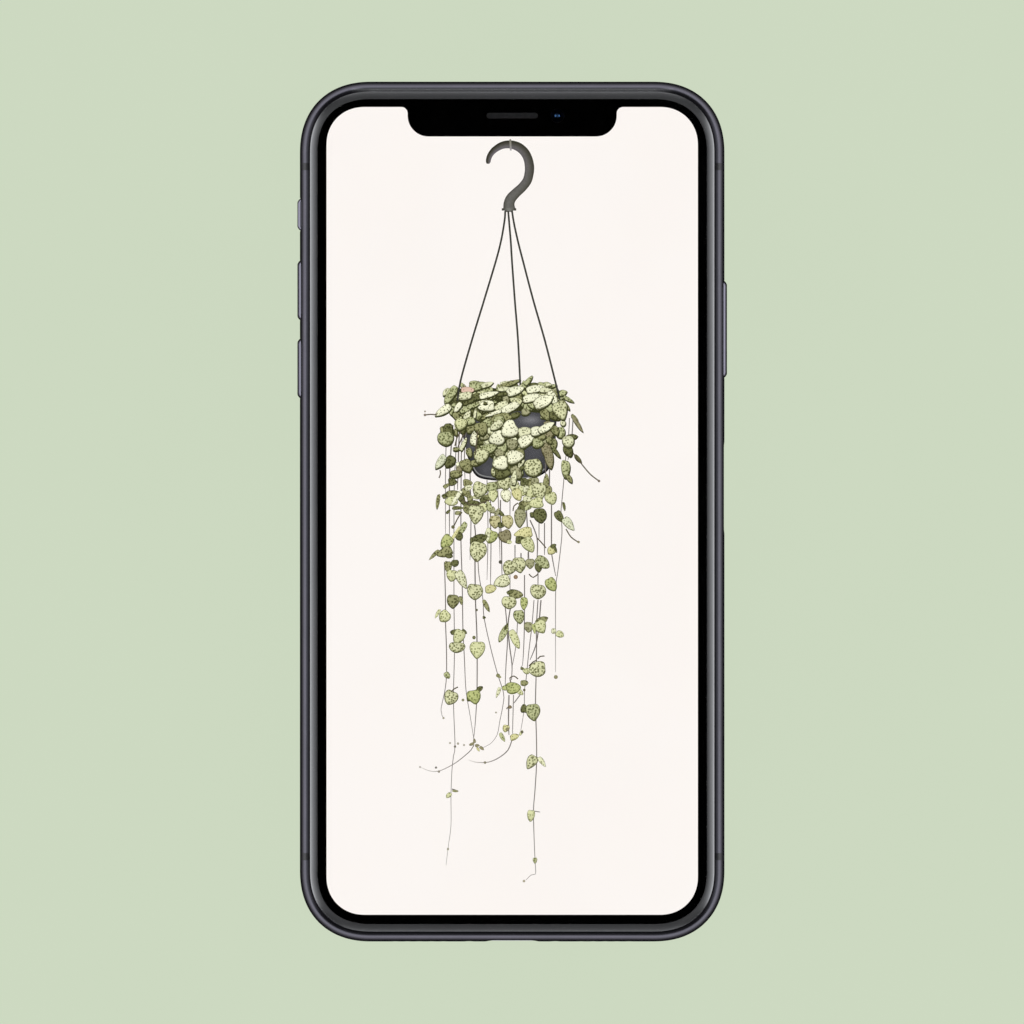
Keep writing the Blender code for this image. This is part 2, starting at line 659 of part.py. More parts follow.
def build_bottom_edge(band):
    """The sound holes and the case screws on both sides of the port."""
    for side, place in ((-1, "left"), (1, "right")):
        for i in range(SOUND_HOLE_COUNT):
            x = side * SOUND_HOLE_X + (i - (SOUND_HOLE_COUNT - 1) / 2) * SOUND_HOLE_PITCH
            hole = circle(0, 0, SOUND_HOLE_RADIUS, 12)
            cut(band, edge_bore(f"cutter_sound_{place}_{i}", hole, x, THROUGH_BAND))
        x = side * SCREW_X
        clearance = circle(0, 0, SCREW_RADIUS + FIT_GAP, 16)
        cut(band, edge_bore("cutter_screw_" + place, clearance, x, THROUGH_BAND))
        screw = edge_bore("case_screw_" + place, circle(0, 0, SCREW_RADIUS, 16), x, SCREW_DEPTHS, "steel")
        cut(screw, edge_bore("cutter_drive_" + place, circle(0, 0, DRIVE_RADIUS, 5), x, (-1, DRIVE_DEPTH)))


def main():
    for old in list(bpy.data.objects):
        bpy.data.objects.remove(old)
    bands = build_band()
    build_front()
    build_back()
    build_screen()
    build_keys(bands)
    build_lever(bands["band_left"])
    build_card_tray(bands["band_right"])
    build_rear_cameras()
    build_inside()
    build_port(bands["band_bottom"])
    build_bottom_edge(bands["band_bottom"])


main()
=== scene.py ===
import random
from math import cos, dist, exp, hypot, pi, radians, sin

import bmesh
import bpy
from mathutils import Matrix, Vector


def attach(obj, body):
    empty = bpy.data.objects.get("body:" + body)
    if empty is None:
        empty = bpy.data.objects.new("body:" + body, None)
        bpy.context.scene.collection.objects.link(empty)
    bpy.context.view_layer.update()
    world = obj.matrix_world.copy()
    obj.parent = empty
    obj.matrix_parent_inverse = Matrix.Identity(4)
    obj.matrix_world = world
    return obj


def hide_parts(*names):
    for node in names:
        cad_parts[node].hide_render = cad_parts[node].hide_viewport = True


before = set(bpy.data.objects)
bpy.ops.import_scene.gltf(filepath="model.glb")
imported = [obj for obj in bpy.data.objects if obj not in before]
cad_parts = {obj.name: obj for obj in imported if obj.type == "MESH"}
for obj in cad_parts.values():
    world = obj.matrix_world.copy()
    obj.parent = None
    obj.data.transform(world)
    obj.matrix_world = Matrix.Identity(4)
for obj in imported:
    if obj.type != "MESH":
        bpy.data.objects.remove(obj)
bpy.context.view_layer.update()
scene = bpy.context.scene
mm = 0.001  # every length in the dictionaries is in millimetres
print("Frame loaded:", len(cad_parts), "nodes")

# The body's outline, which the band, the ring, both glasses and the border share
body = {
    "width": 70.9,
    "height": 143.6,
    "thickness": 7.7,
    "cornerReach": 12.0, "cornerPower": 2.26, "cornerSteps": 44,
    "gap": 0.1,
}
halfWidth = body["width"] / 2
halfHeight = body["height"] / 2
middleZ = body["thickness"] / 2

# The photograph looks straight down on the screen from far away
photoView = {
    "distance": 6000.0,
    "clipEnd": 20000.0,
    "frameWidth": 170.92,  # what the frame's 1024 pixels span at the screen's height
    "across": -0.033,
    "along": -0.067,
    "sensor": 36.0,
}
cameraData = bpy.data.cameras.new("photoCamera")
cameraData.sensor_width = photoView["sensor"]
cameraData.lens = photoView["sensor"] * photoView["distance"] / photoView["frameWidth"]
cameraData.clip_end = photoView["clipEnd"] * mm
camera = bpy.data.objects.new("photoCamera", cameraData)
cameraHeight = body["thickness"] + photoView["distance"]
camera.location = Vector((photoView["across"], photoView["along"], cameraHeight)) * mm
scene.collection.objects.link(camera)
scene.camera = camera
scene.view_settings.view_transform = "Standard"
print("Camera placed")


def tint(red, green, blue):
    # the linear colour of a screen colour from 0 to 255
    linear = []
    for part in (red / 255, green / 255, blue / 255):
        linear.append(((part + 0.055) / 1.055) ** 2.4 if part > 0.04045 else part / 12.92)
    return (*linear, 1.0)


def addNode(tree, kind, **settings):
    node = tree.nodes.new("ShaderNode" + kind)
    for name, value in settings.items():
        setattr(node, name, value)
    return node


def feed(tree, socket, value):
    # a socket takes either another node's output or a plain value
    if isinstance(value, bpy.types.NodeSocket):
        tree.links.new(value, socket)
    else:
        socket.default_value = value


def feedAll(tree, node, *values):
    for socket, value in zip(node.inputs, values):
        feed(tree, socket, value)
    return node.outputs[0]


def feedNamed(tree, node, values):
    for label, value in values.items():
        feed(tree, node.inputs[label], value)
    return node.outputs


def calculate(tree, operation, first, second=0.0):
    return feedAll(tree, addNode(tree, "Math", operation=operation), first, second)


def multiply(tree, first, second):
    return calculate(tree, "MULTIPLY", first, second)


def add(tree, first, second):
    return calculate(tree, "ADD", first, second)


def remap(tree, value, fromLow, fromHigh, toLow=0.0, toHigh=1.0, kind="SMOOTHSTEP"):
    node = addNode(tree, "MapRange", interpolation_type=kind)
    return feedAll(tree, node, value, fromLow, fromHigh, toLow, toHigh)


def scaleBy(tree, vector, factor):
    # a vector or a colour times a number
    node = addNode(tree, "VectorMath", operation="SCALE")
    feed(tree, node.inputs[0], vector)
    feed(tree, node.inputs["Scale"], factor)
    return node.outputs[0]


def blendColours(tree, share, first, second):
    node = addNode(tree, "Mix", data_type="RGBA")
    feed(tree, node.inputs[0], share)
    feed(tree, node.inputs[6], first)
    feed(tree, node.inputs[7], second)
    return node.outputs[2]


def mixShaders(tree, share, first, second):
    return feedAll(tree, addNode(tree, "MixShader"), share, first, second)


def separate(tree, value, kind="XYZ"):
    node = addNode(tree, "Separate" + kind)
    tree.links.new(value, node.inputs[0])
    return node.outputs


def onPoints(tree, name, output="Fac"):
    # what the mesh keeps on its points under this name
    return addNode(tree, "Attribute", attribute_name=name).outputs[output]


def inMillimetres(tree, stretch=(1.0, 1.0, 1.0)):
    # the object's own coordinates in millimetres, stretched along each axis
    place = scaleBy(tree, addNode(tree, "TexCoord").outputs["Object"], 1 / mm)
    return feedAll(tree, addNode(tree, "VectorMath", operation="MULTIPLY"), place, stretch)


def noise(tree, place, scale, detail=3.0, roughness=0.55):
    given = {"Vector": place, "Scale": scale, "Detail": detail, "Roughness": roughness}
    return feedNamed(tree, addNode(tree, "TexNoise"), given)["Fac"]


def cells(tree, place, scale, feature="F1", dimensions="3D"):
    node = addNode(tree, "TexVoronoi", feature=feature, voronoi_dimensions=dimensions)
    return feedNamed(tree, node, {"Vector": place, "Scale": scale})


noiseSpan = (0.3, 0.7)  # where nearly all of a noise's values lie
white = (1.0, 1.0, 1.0, 1.0)
unstretched = (1.0, 1.0, 1.0)
socketKinds = {"value": "NodeSocketFloat", "vector": "NodeSocketVector", "color": "NodeSocketColor"}


def newGroup(name, given, made):
    # an empty shader node group, and the sockets of its named inputs and outputs
    group = bpy.data.node_groups.new(name, "ShaderNodeTree")
    for label, (kind, value) in given.items():
        socket = group.interface.new_socket(label, in_out="INPUT", socket_type=socketKinds[kind])
        socket.default_value = value
    for label, kind in made.items():
        group.interface.new_socket(label, in_out="OUTPUT", socket_type=socketKinds[kind])
    entrance = group.nodes.new("NodeGroupInput")
    return group, entrance.outputs, group.nodes.new("NodeGroupOutput").inputs


def useGroup(tree, group, **values):
    node = tree.nodes.new("ShaderNodeGroup")
    node.node_tree = group
    return feedNamed(tree, node, values)


def makeSurfaceGrain():
    # fine grain as a roughness between two limits and a height for a bump
    group, given, made = newGroup(
        "surfaceGrain",
        {
            "Scale": ("value", 4.0),
            "Stretch": ("vector", unstretched),
            "Low": ("value", 0.3),
            "High": ("value", 0.4),
        },
        {"Roughness": "value", "Height": "value"},
    )
    grain = noise(group, inMillimetres(group, given["Stretch"]), given["Scale"], 5.0, 0.65)
    rough = remap(group, grain, *noiseSpan, given["Low"], given["High"], "LINEAR")
    group.links.new(rough, made["Roughness"])
    group.links.new(grain, made["Height"])
    return group


def makeColourDrift():
    # slow patches of a second colour
    group, given, made = newGroup(
        "colourDrift",
        {
            "Color": ("color", white),
            "Drift": ("color", white),
            "Scale": ("value", 0.1),
            "Share": ("value", 0.6),
        },
        {"Color": "color"},
    )
    patches = noise(group, inMillimetres(group), given["Scale"], 4.0, 0.6)
    share = remap(group, patches, 0.35, 0.68, 0.0, given["Share"])
    group.links.new(blendColours(group, share, given["Color"], given["Drift"]), made["Color"])
    return group


def makeSpecks():
    # sparse dust specks
    group, given, made = newGroup(
        "specks",
        {"Scale": ("value", 0.8), "Size": ("value", 0.06), "Rarity": ("value", 0.8)},
        {"Mask": "value"},
    )
    found = cells(group, inMillimetres(group), given["Scale"])
    core = multiply(group, given["Size"], 0.5)
    inside = remap(group, found["Distance"], core, given["Size"], 1.0, 0.0)
    draw = separate(group, found["Color"], "Color")[0]
    chosen = calculate(group, "GREATER_THAN", draw, given["Rarity"])
    group.links.new(multiply(group, inside, chosen), made["Mask"])
    return group


def makeSmudges():
    # finger smears: broad patches broken up by fine ridges
    group, given, made = newGroup(
        "smudges",
        {"Scale": ("value", 0.06), "Ridges": ("value", 2.2), "Amount": ("value", 0.5)},
        {"Mask": "value"},
    )
    place = inMillimetres(group)
    broad = remap(group, noise(group, place, given["Scale"], 3.0, 0.5), 0.46, 0.66)
    fine = remap(group, noise(group, place, given["Ridges"], 2.0, 0.5), *noiseSpan, 0.55, 1.0)
    both = multiply(group, broad, fine)
    group.links.new(multiply(group, both, given["Amount"]), made["Mask"])
    return group


def makeScuffs():
    # short fine scratches in a few patches, drawn out along the stretch
    group, given, made = newGroup(
        "scuffs",
        {"Scale": ("value", 6.0), "Stretch": ("vector", unstretched), "Amount": ("value", 0.5)},
        {"Mask": "value"},
    )
    drawnOut = noise(group, inMillimetres(group, given["Stretch"]), given["Scale"], 2.0)
    scratches = remap(group, drawnOut, 0.60, 0.70)
    patches = remap(group, noise(group, inMillimetres(group), 0.12), 0.48, 0.62)
    both = multiply(group, scratches, patches)
    group.links.new(multiply(group, both, given["Amount"]), made["Mask"])
    return group


def makeScreenDots():
    # the display's own dots, slightly brighter and dimmer by turns along X and Y
    group, given, made = newGroup(
        "screenDots",
        {"Color": ("color", white), "Pitch": ("value", 0.055), "Depth": ("value", 0.02)},
        {"Color": "color"},
    )
    waves = []
    for distance in separate(group, inMillimetres(group))[:2]:
        turns = calculate(group, "DIVIDE", distance, given["Pitch"])
        waves.append(calculate(group, "COSINE", multiply(group, turns, 2 * pi)))
    dimming = multiply(group, multiply(group, *waves), given["Depth"])
    level = calculate(group, "SUBTRACT", 1.0, dimming)
    group.links.new(scaleBy(group, given["Color"], level), made["Color"])
    return group


surfaceGrain = makeSurfaceGrain()
colourDrift = makeColourDrift()
specks = makeSpecks()
smudges = makeSmudges()
scuffs = makeScuffs()
screenDots = makeScreenDots()
print("Shader groups built")


def newMaterial(name):
    material = bpy.data.materials.new(name)
    material.use_nodes = True
    return material, material.node_tree, material.node_tree.nodes["Principled BSDF"]


def addGrain(tree, shader, **values):
    # the shared grain as this surface's roughness, and its height for a bump
    grain = useGroup(tree, surfaceGrain, **values)
    tree.links.new(grain["Roughness"], shader.inputs["Roughness"])
    return grain["Height"]


def addBump(tree, shader, height, depth):
    bump = addNode(tree, "Bump")
    bump.inputs["Distance"].default_value = depth * mm
    tree.links.new(height, bump.inputs["Height"])
    tree.links.new(bump.outputs["Normal"], shader.inputs["Normal"])


def addSmears(tree, shader, amount, roughness):
    # smears in the surface's clear coat
    tree.links.new(useGroup(tree, smudges, Amount=amount)["Mask"], shader.inputs["Coat Weight"])
    shader.inputs["Coat Roughness"].default_value = roughness


def makeFinish(name, look):
    # a solid surface with drifting colour and grain, and the marks and painted highlight that its look
    # names
    material, tree, shader = newMaterial(name)
    base = tint(*look["colour"])
    drift = tint(*look["drift"])
    colour = useGroup(tree, colourDrift, Color=base, Drift=drift, Scale=look["driftScale"])["Color"]
    if "scuffed" in look:
        marks = useGroup(tree, scuffs, Stretch=look.get("stretch", scuffStretch))["Mask"]
        colour = blendColours(tree, marks, colour, tint(*look["scuffed"]))
    # the highlight colour here is painted, laid where the points mark it
    if "paintedHighlight" in look:
        colour = blendColours(tree, onPoints(tree, "paintedEdgeHighlight"), colour, tint(*look["paintedHighlight"]))
    if "dust" in look:
        marks = useGroup(tree, specks, Scale=look["dustScale"], Size=look["dustSize"])["Mask"]
        colour = blendColours(tree, marks, colour, tint(*look["dust"]))
    low, high = look["roughness"]
    stretch = look.get("stretch", unstretched)
    height = addGrain(tree, shader, Scale=look["grain"], Stretch=stretch, Low=low, High=high)
    addBump(tree, shader, height, look["bump"])
    constants = {"Metallic": look.get("metallic", 0.0), "IOR": look.get("ior", 1.5)}
    feedNamed(tree, shader, {"Base Color": colour, **constants})
    if "smears" in look:
        addSmears(tree, shader, look["smears"], 0.3)
    return material


scuffStretch = (1.0, 0.12, 1.0)  # draws scuffs out along Y
finishLooks = {
    "graphite_metal": {
        "colour": (91, 90, 97), "drift": (86, 86, 92), "driftScale": 0.25,
        # the near-white colour below is a painted highlight on the top band's inner edge
        "scuffed": (106, 106, 111), "paintedHighlight": (250, 250, 252), "roughness": (0.22, 0.28),
        "grain": 9.0, "bump": 0.001, "metallic": 1.0,
    },
    "key_metal": {
        "colour": (132, 131, 142), "drift": (126, 125, 136), "driftScale": 0.3,
        "scuffed": (142, 142, 149), "roughness": (0.16, 0.22), "grain": 9.0, "bump": 0.001,
        "metallic": 1.0,
    },
    "antenna_plastic": {
        "colour": (28, 27, 32), "drift": (23, 23, 27), "driftScale": 0.8, "roughness": (0.20, 0.28),
        "grain": 12.0, "bump": 0.001, "ior": 1.52,
    },
    "polished_trim": {
        "colour": (236, 236, 237), "drift": (228, 228, 230), "driftScale": 0.12,
        "scuffed": (244, 244, 244), "roughness": (0.18, 0.24), "grain": 14.0, "bump": 0.0008,
        "metallic": 1.0,
    },
    "black_ink": {
        "colour": (3, 3, 3), "drift": (5, 5, 6), "driftScale": 0.3, "dust": (16, 16, 17),
        "dustScale": 1.2, "dustSize": 0.05, "roughness": (0.42, 0.55), "grain": 20.0, "bump": 0.001,
        "ior": 1.04,
    },
    "back_glass": {
        "colour": (17, 17, 20), "drift": (22, 22, 26), "driftScale": 0.05, "dust": (70, 70, 72),
        "dustScale": 0.7, "dustSize": 0.05, "roughness": (0.05, 0.11), "grain": 0.8, "bump": 0.0004,
        "smears": 0.8,
    },
    "window_glass": {
        "colour": (7, 7, 9), "drift": (10, 10, 13), "driftScale": 0.1, "roughness": (0.04, 0.08),
        "grain": 1.2, "bump": 0.0003, "smears": 0.5,
    },
    "lens_barrel": {
        "colour": (16, 16, 18), "drift": (24, 24, 27), "driftScale": 0.6, "scuffed": (60, 60, 64),
        "roughness": (0.28, 0.42), "grain": 10.0, "bump": 0.002, "metallic": 0.6,
    },
    "steel": {
        "colour": (190, 190, 192), "drift": (172, 173, 178), "driftScale": 0.15,
        "scuffed": (225, 225, 226), "roughness": (0.26, 0.42), "grain": 6.0,
        "stretch": (0.15, 2.0, 2.0), "bump": 0.003, "metallic": 1.0,
    },
    "copper": {
        "colour": (214, 150, 110), "drift": (186, 120, 84), "driftScale": 0.2,
        "roughness": (0.28, 0.45), "grain": 5.0, "bump": 0.003, "metallic": 1.0,
    },
    "battery_wrap": {
        "colour": (44, 44, 46), "drift": (52, 52, 54), "driftScale": 0.08, "dust": (90, 90, 92),
        "dustScale": 0.5, "dustSize": 0.06, "roughness": (0.48, 0.66), "grain": 3.0, "bump": 0.02,
    },
    "black_plastic": {
        "colour": (32, 32, 33), "drift": (40, 40, 42), "driftScale": 0.3, "scuffed": (70, 70, 72),
        "roughness": (0.42, 0.6), "grain": 8.0, "bump": 0.006,
    },
    "card_white": {
        "colour": (228, 228, 224), "drift": (216, 217, 212), "driftScale": 0.2,
        "roughness": (0.42, 0.55), "grain": 5.0, "bump": 0.003,
    },
    "sound_mesh": {
        "colour": (64, 64, 65), "drift": (46, 46, 47), "driftScale": 2.0, "roughness": (0.45, 0.6),
        "grain": 12.0, "bump": 0.004,
    },
}
finishes = {name: makeFinish(name, look) for name, look in finishLooks.items()}

board = {
    "mask": (24, 62, 48),
    "trace": (52, 104, 78), "traceScale": 0.55, "traceWidth": 0.05,
    "part": (34, 36, 36), "partScale": 0.9, "partEdge": (0.18, 0.24), "partHeight": 0.08,
}


def makeBoardFinish():
    # the boards' solder mask, with traces and rows of small parts as colour and relief
    material, tree, shader = newMaterial("board_green")
    place = inMillimetres(tree)
    bricks = addNode(tree, "TexBrick", offset=0.37, squash=0.6)
    given = {"Vector": place, "Scale": board["traceScale"], "Mortar Size": board["traceWidth"]}
    traces = feedNamed(tree, bricks, given)["Fac"]
    parts = cells(tree, place, board["partScale"], "DISTANCE_TO_EDGE")
    raised = remap(tree, parts["Distance"], *board["partEdge"])
    mask = blendColours(tree, traces, tint(*board["mask"]), tint(*board["trace"]))
    colour = blendColours(tree, raised, mask, tint(*board["part"]))
    tree.links.new(colour, shader.inputs["Base Color"])
    addGrain(tree, shader, Scale=6.0, Low=0.35, High=0.55)
    addBump(tree, shader, raised, board["partHeight"])
    return material


coil = {
    "wire": (222, 156, 112),
    # the colour between the turns is painted shade in the grooves
    "between": (120, 66, 38),
    "turnScale": 0.32, "turnHeight": 0.05,
    "y": -2.0,
}


def makeCoilFinish():
    # turns of lacquered copper wire round the coil's middle, with painted shade in the grooves between
    # them
    material, tree, shader = newMaterial("coil_copper")
    shift = addNode(tree, "VectorMath", operation="ADD")
    place = feedAll(tree, shift, inMillimetres(tree), (0.0, -coil["y"], 0.0))
    turns = addNode(tree, "TexWave", wave_type="RINGS", rings_direction="Z")
    given = {"Vector": place, "Scale": coil["turnScale"], "Distortion": 0.1}
    rise = feedNamed(tree, turns, given)["Fac"]
    colour = blendColours(tree, rise, tint(*coil["between"]), tint(*coil["wire"]))
    feedNamed(tree, shader, {"Base Color": colour, "Metallic": 0.9})
    addGrain(tree, shader, Scale=8.0, Low=0.25, High=0.4)
    addBump(tree, shader, rise, coil["turnHeight"])
    return material


clearGlasses = {
    # treated so that it mirrors less than plain glass
    "front_glass": {"ior": 1.2, "smears": 0.1, "coat": white},
    "lens_cover": {"ior": 1.5, "smears": 0.1, "coat": tint(190, 215, 255)},
}


def makeClearGlass(name, look):
    # clear glass whose only marks are faint smears in its coat
    material, tree, shader = newMaterial(name)
    clear = {"Base Color": white, "Roughness": 0.0, "Transmission Weight": 1.0}
    feedNamed(tree, shader, {**clear, "IOR": look["ior"], "Coat Tint": look["coat"]})
    addSmears(tree, shader, look["smears"], 0.28)
    return material


flash = {"rib": (250, 240, 196), "hollow": (226, 208, 140), "ribScale": 3.0, "ribHeight": 0.04}


def makeFlashFinish():
    # the flash's frosted lens over its yellow lamp
    material, tree, shader = newMaterial("flash_diffuser")
    rise = cells(tree, inMillimetres(tree), flash["ribScale"])["Distance"]
    share = remap(tree, rise, 0.1, 0.6)
    colour = blendColours(tree, share, tint(*flash["rib"]), tint(*flash["hollow"]))
    tree.links.new(colour, shader.inputs["Base Color"])
    addGrain(tree, shader, Scale=10.0, Low=0.15, High=0.3)
    addBump(tree, shader, rise, flash["ribHeight"])
    return material


eye = {"coating": (108, 156, 214), "drift": (80, 128, 194), "rim": (14, 22, 44), "rimFade": (0.45, 0.72)}


def makeEyeFinish():
    # a coated lens that mirrors the light in blue and darkens towards its rim
    material, tree, shader = newMaterial("camera_eye")
    coating = tint(*eye["coating"])
    drift = tint(*eye["drift"])
    deep = useGroup(tree, colourDrift, Color=coating, Drift=drift, Scale=1.4, Share=0.7)["Color"]
    rim = remap(tree, onPoints(tree, "eyeRadius"), *eye["rimFade"])
    colour = blendColours(tree, rim, deep, tint(*eye["rim"]))
    feedNamed(tree, shader, {"Base Color": colour, "Metallic": 1.0})
    addGrain(tree, shader, Scale=4.0, Low=0.10, High=0.15)
    return material


# The picture shines through two faces of glass, which together keep back about 2% of it
screenLight = {
    "strength": 1.018,
    "ground": (252, 247, 243), "groundDrift": (252, 246, 241),
    "driftScale": 0.05, "driftShare": 0.5,
    "dotPitch": 0.055, "dotDepth": 0.005,
    "unlit": (4, 4, 4),
}


def newGlowingMaterial(name):
    material, tree, shader = newMaterial(name)
    material.cycles.emission_sampling = "NONE"
    return material, tree, shader


def lightUp(tree, shader, colour):
    # a lit patch of the display in this colour
    pitch = screenLight["dotPitch"]
    depth = screenLight["dotDepth"]
    dots = useGroup(tree, screenDots, Color=colour, Pitch=pitch, Depth=depth)
    light = {"Emission Color": dots["Color"], "Emission Strength": screenLight["strength"]}
    face = {"Base Color": tint(*screenLight["unlit"]), "Roughness": 0.6, "IOR": 1.04}
    feedNamed(tree, shader, {**light, **face})


def makeGroundPaint():
    material, tree, shader = newGlowingMaterial("screen_ground")
    drift = useGroup(
        tree,
        colourDrift,
        Color=tint(*screenLight["ground"]),
        Drift=tint(*screenLight["groundDrift"]),
        Scale=screenLight["driftScale"],
        Share=screenLight["driftShare"],
    )
    lightUp(tree, shader, drift["Color"])
    return material


def makePicturePaint():
    # painted pieces of the picture: the colour lies on their points, roughened by a fine grain
    material, tree, shader = newGlowingMaterial("picture_paint")
    grain = remap(tree, noise(tree, inMillimetres(tree), 3.5), *noiseSpan, 0.86, 1.12, "LINEAR")
    lightUp(tree, shader, scaleBy(tree, onPoints(tree, "paintColour", "Color"), grain))
    return material


# A leaf's marks: a cover of 0 leaves its face nearly bare, and more gives more and larger marks
leafPaint = {
    "blotchScale": 1.5,
    "blotchStart": 0.72,  # the noise's value above which a bare leaf is blotched
    "blotchSpread": 0.36,  # how far a full cover lowers it
    "blotchEdge": 0.16, "blotchShare": 0.42,
    "dotScale": 2.3, "dotSize": 0.04, "dotGrowth": 0.56, "dotVariation": (0.7, 1.3), "dotCore": 0.7,
    "dotChance": 0.32, "dotShare": 0.88,
    # from and to this far inside the edge, from and to this share
    "deeper": (0.05, 0.45, 0.24, 0.0),
    "rim": (0.03, 0.17, 0.9, 0.0), "rimColour": (44, 46, 24), "rimDarkening": 0.55,
    "grainScale": 5.0, "grain": (0.92, 1.08),
}


def makeLeafPaint():
    # leaf faces: pale, with blotches and dots of a darker green, and a dark rim
    look = leafPaint
    material, tree, shader = newGlowingMaterial("leaf_paint")
    face = onPoints(tree, "leafFace", "Color")
    marks = onPoints(tree, "leafMarks", "Color")
    place = onPoints(tree, "leafPlace", "Vector")
    cover = onPoints(tree, "leafCover")
    margin = onPoints(tree, "leafMargin")
    lowered = multiply(tree, cover, look["blotchSpread"])
    start = calculate(tree, "SUBTRACT", look["blotchStart"], lowered)
    clouds = noise(tree, place, look["blotchScale"], 3.0, 0.6)
    blotches = remap(tree, clouds, start, add(tree, start, look["blotchEdge"]))
    dot = cells(tree, place, look["dotScale"], dimensions="2D")
    sizeDraw, showDraw, _ = separate(tree, dot["Color"], "Color")
    size = add(tree, multiply(tree, cover, look["dotGrowth"]), look["dotSize"])
    size = multiply(tree, size, remap(tree, sizeDraw, 0.0, 1.0, *look["dotVariation"], "LINEAR"))
    dots = remap(tree, dot["Distance"], multiply(tree, size, look["dotCore"]), size, 1.0, 0.0)
    shown = calculate(tree, "LESS_THAN", showDraw, add(tree, cover, look["dotChance"]))
    dots = multiply(tree, multiply(tree, dots, shown), look["dotShare"])
    marked = calculate(tree, "MAXIMUM", multiply(tree, blotches, look["blotchShare"]), dots)
    colour = blendColours(tree, marked, face, marks)
    colour = blendColours(tree, remap(tree, margin, *look["deeper"]), colour, marks)
    dark = blendColours(tree, look["rimDarkening"], marks, tint(*look["rimColour"]))
    colour = blendColours(tree, remap(tree, margin, *look["rim"]), colour, dark)
    fine = noise(tree, place, look["grainScale"], 2.0)
    fine = remap(tree, fine, *noiseSpan, *look["grain"], "LINEAR")
    lightUp(tree, shader, scaleBy(tree, colour, multiply(tree, fine, onPoints(tree, "leafShade"))))
    return material


finishes["board_green"] = makeBoardFinish()
finishes["coil_copper"] = makeCoilFinish()
for name, look in clearGlasses.items():
    finishes[name] = makeClearGlass(name, look)
finishes["flash_diffuser"] = makeFlashFinish()
finishes["camera_eye"] = makeEyeFinish()
finishes["screen_ground"] = makeGroundPaint()
finishes["picture_paint"] = makePicturePaint()
finishes["leaf_paint"] = makeLeafPaint()
# slots of the frame that share a finish
finishes["dark_lens"] = finishes["window_glass"]
finishes["display"] = finishes["screen_ground"]
print("Materials built:", len(finishes))


# The studio: a strip of soft light along each side, a dimmer one beyond each end, dark overhead
studio = {
    "floor": (204, 216, 192), "floorDrift": (203, 215, 191), "floorStrength": 1.10,
    "lightColour": (0.98, 1.0, 1.03, 1.0),
    "horizonGlow": 1.7,  # all round, fading out as one looks up
    "horizonReach": 0.45,
    "sideFade": (0.80, 0.97),
    "endFade": (0.86, 0.985),
    # brightness by how steeply one looks up, from level to overhead
    "sideRise": (
        (0.0, 0.05), (0.34, 0.50), (0.50, 0.56), (0.58, 0.52), (0.66, 0.41), (0.76, 0.31),
        (0.83, 0.26), (0.92, 0.18), (0.96, 0.135), (0.983, 0.09), (0.995, 0.085), (1.0, 0.0),
    ),
    "endRise": (
        (0.0, 0.0), (0.45, 0.12), (0.60, 0.10), (0.76, 0.06), (0.90, 0.035), (0.97, 0.02),
        (1.0, 0.0),
    ),
    # from and to this height, or this far right, from and to this brightness
    "overhead": (0.9975, 0.9998, 0.034, 0.002),
    "below": (-0.9, -0.1, 0.16, 0.0), "belowTilt": (-0.8, 0.8, 0.25, 1.0),
    "floorDrop": 0.05, "floorShade": 0.10,
    # (distance outside the phone's outline, brightness that polished edges see there);
    # the floor stops under the phone
    "floorRings": (
        (-2.9, 0.0), (0.0, 0.0), (3.5, 0.015), (5.5, 0.10), (8.0, 0.38), (12.0, 0.95),
        (20.0, 1.42), (40.0, 1.68), (90.0, 1.70), (3000.0, 1.70),
    ),
    "mirroredTint": (250, 248, 255),
}


def lightRise(tree, height, levels):
    # a light's brightness by height, straight from one level to the next
    rise = addNode(tree, "ValToRGB")
    stops = rise.color_ramp.elements
    while len(stops) > 1:
        stops.remove(stops[-1])
    for index, (position, level) in enumerate(levels):
        stop = stops.new(position) if index else stops[0]
        stop.position = position
        stop.color = (level, level, level, 1.0)
    tree.links.new(height, rise.inputs["Fac"])
    return rise.outputs["Color"]


def buildStudio():
    world = bpy.data.worlds.new("softStudio")
    scene.world = world
    world.use_nodes = True
    tree = world.node_tree
    lit = tree.nodes["Background"]
    way = separate(tree, addNode(tree, "TexCoord").outputs["Generated"])
    x, y, z = (calculate(tree, "ABSOLUTE", part) for part in way)
    flat = calculate(tree, "SQRT", add(tree, multiply(tree, x, x), multiply(tree, y, y)))
    flat = calculate(tree, "MAXIMUM", flat, 0.0001)
    lobes = []
    for across, place in ((x, "side"), (y, "end")):
        facing = remap(tree, calculate(tree, "DIVIDE", across, flat), *studio[place + "Fade"])
        lobes.append(multiply(tree, facing, lightRise(tree, z, studio[place + "Rise"])))
    horizon = remap(tree, z, 0.0, studio["horizonReach"], studio["horizonGlow"], 0.0)
    under = remap(tree, way[2], *studio["below"])
    under = multiply(tree, under, remap(tree, way[0], *studio["belowTilt"]))
    level = add(tree, add(tree, *lobes), horizon)
    level = add(tree, add(tree, level, under), remap(tree, z, *studio["overhead"]))
    feedNamed(tree, lit, {"Strength": level, "Color": studio["lightColour"]})
    seen = addNode(tree, "Background")
    seen.inputs["Color"].default_value = tint(*studio["floor"])
    direct = addNode(tree, "LightPath").outputs["Is Camera Ray"]
    sky = mixShaders(tree, direct, lit.outputs[0], seen.outputs[0])
    tree.links.new(sky, tree.nodes["World Output"].inputs["Surface"])


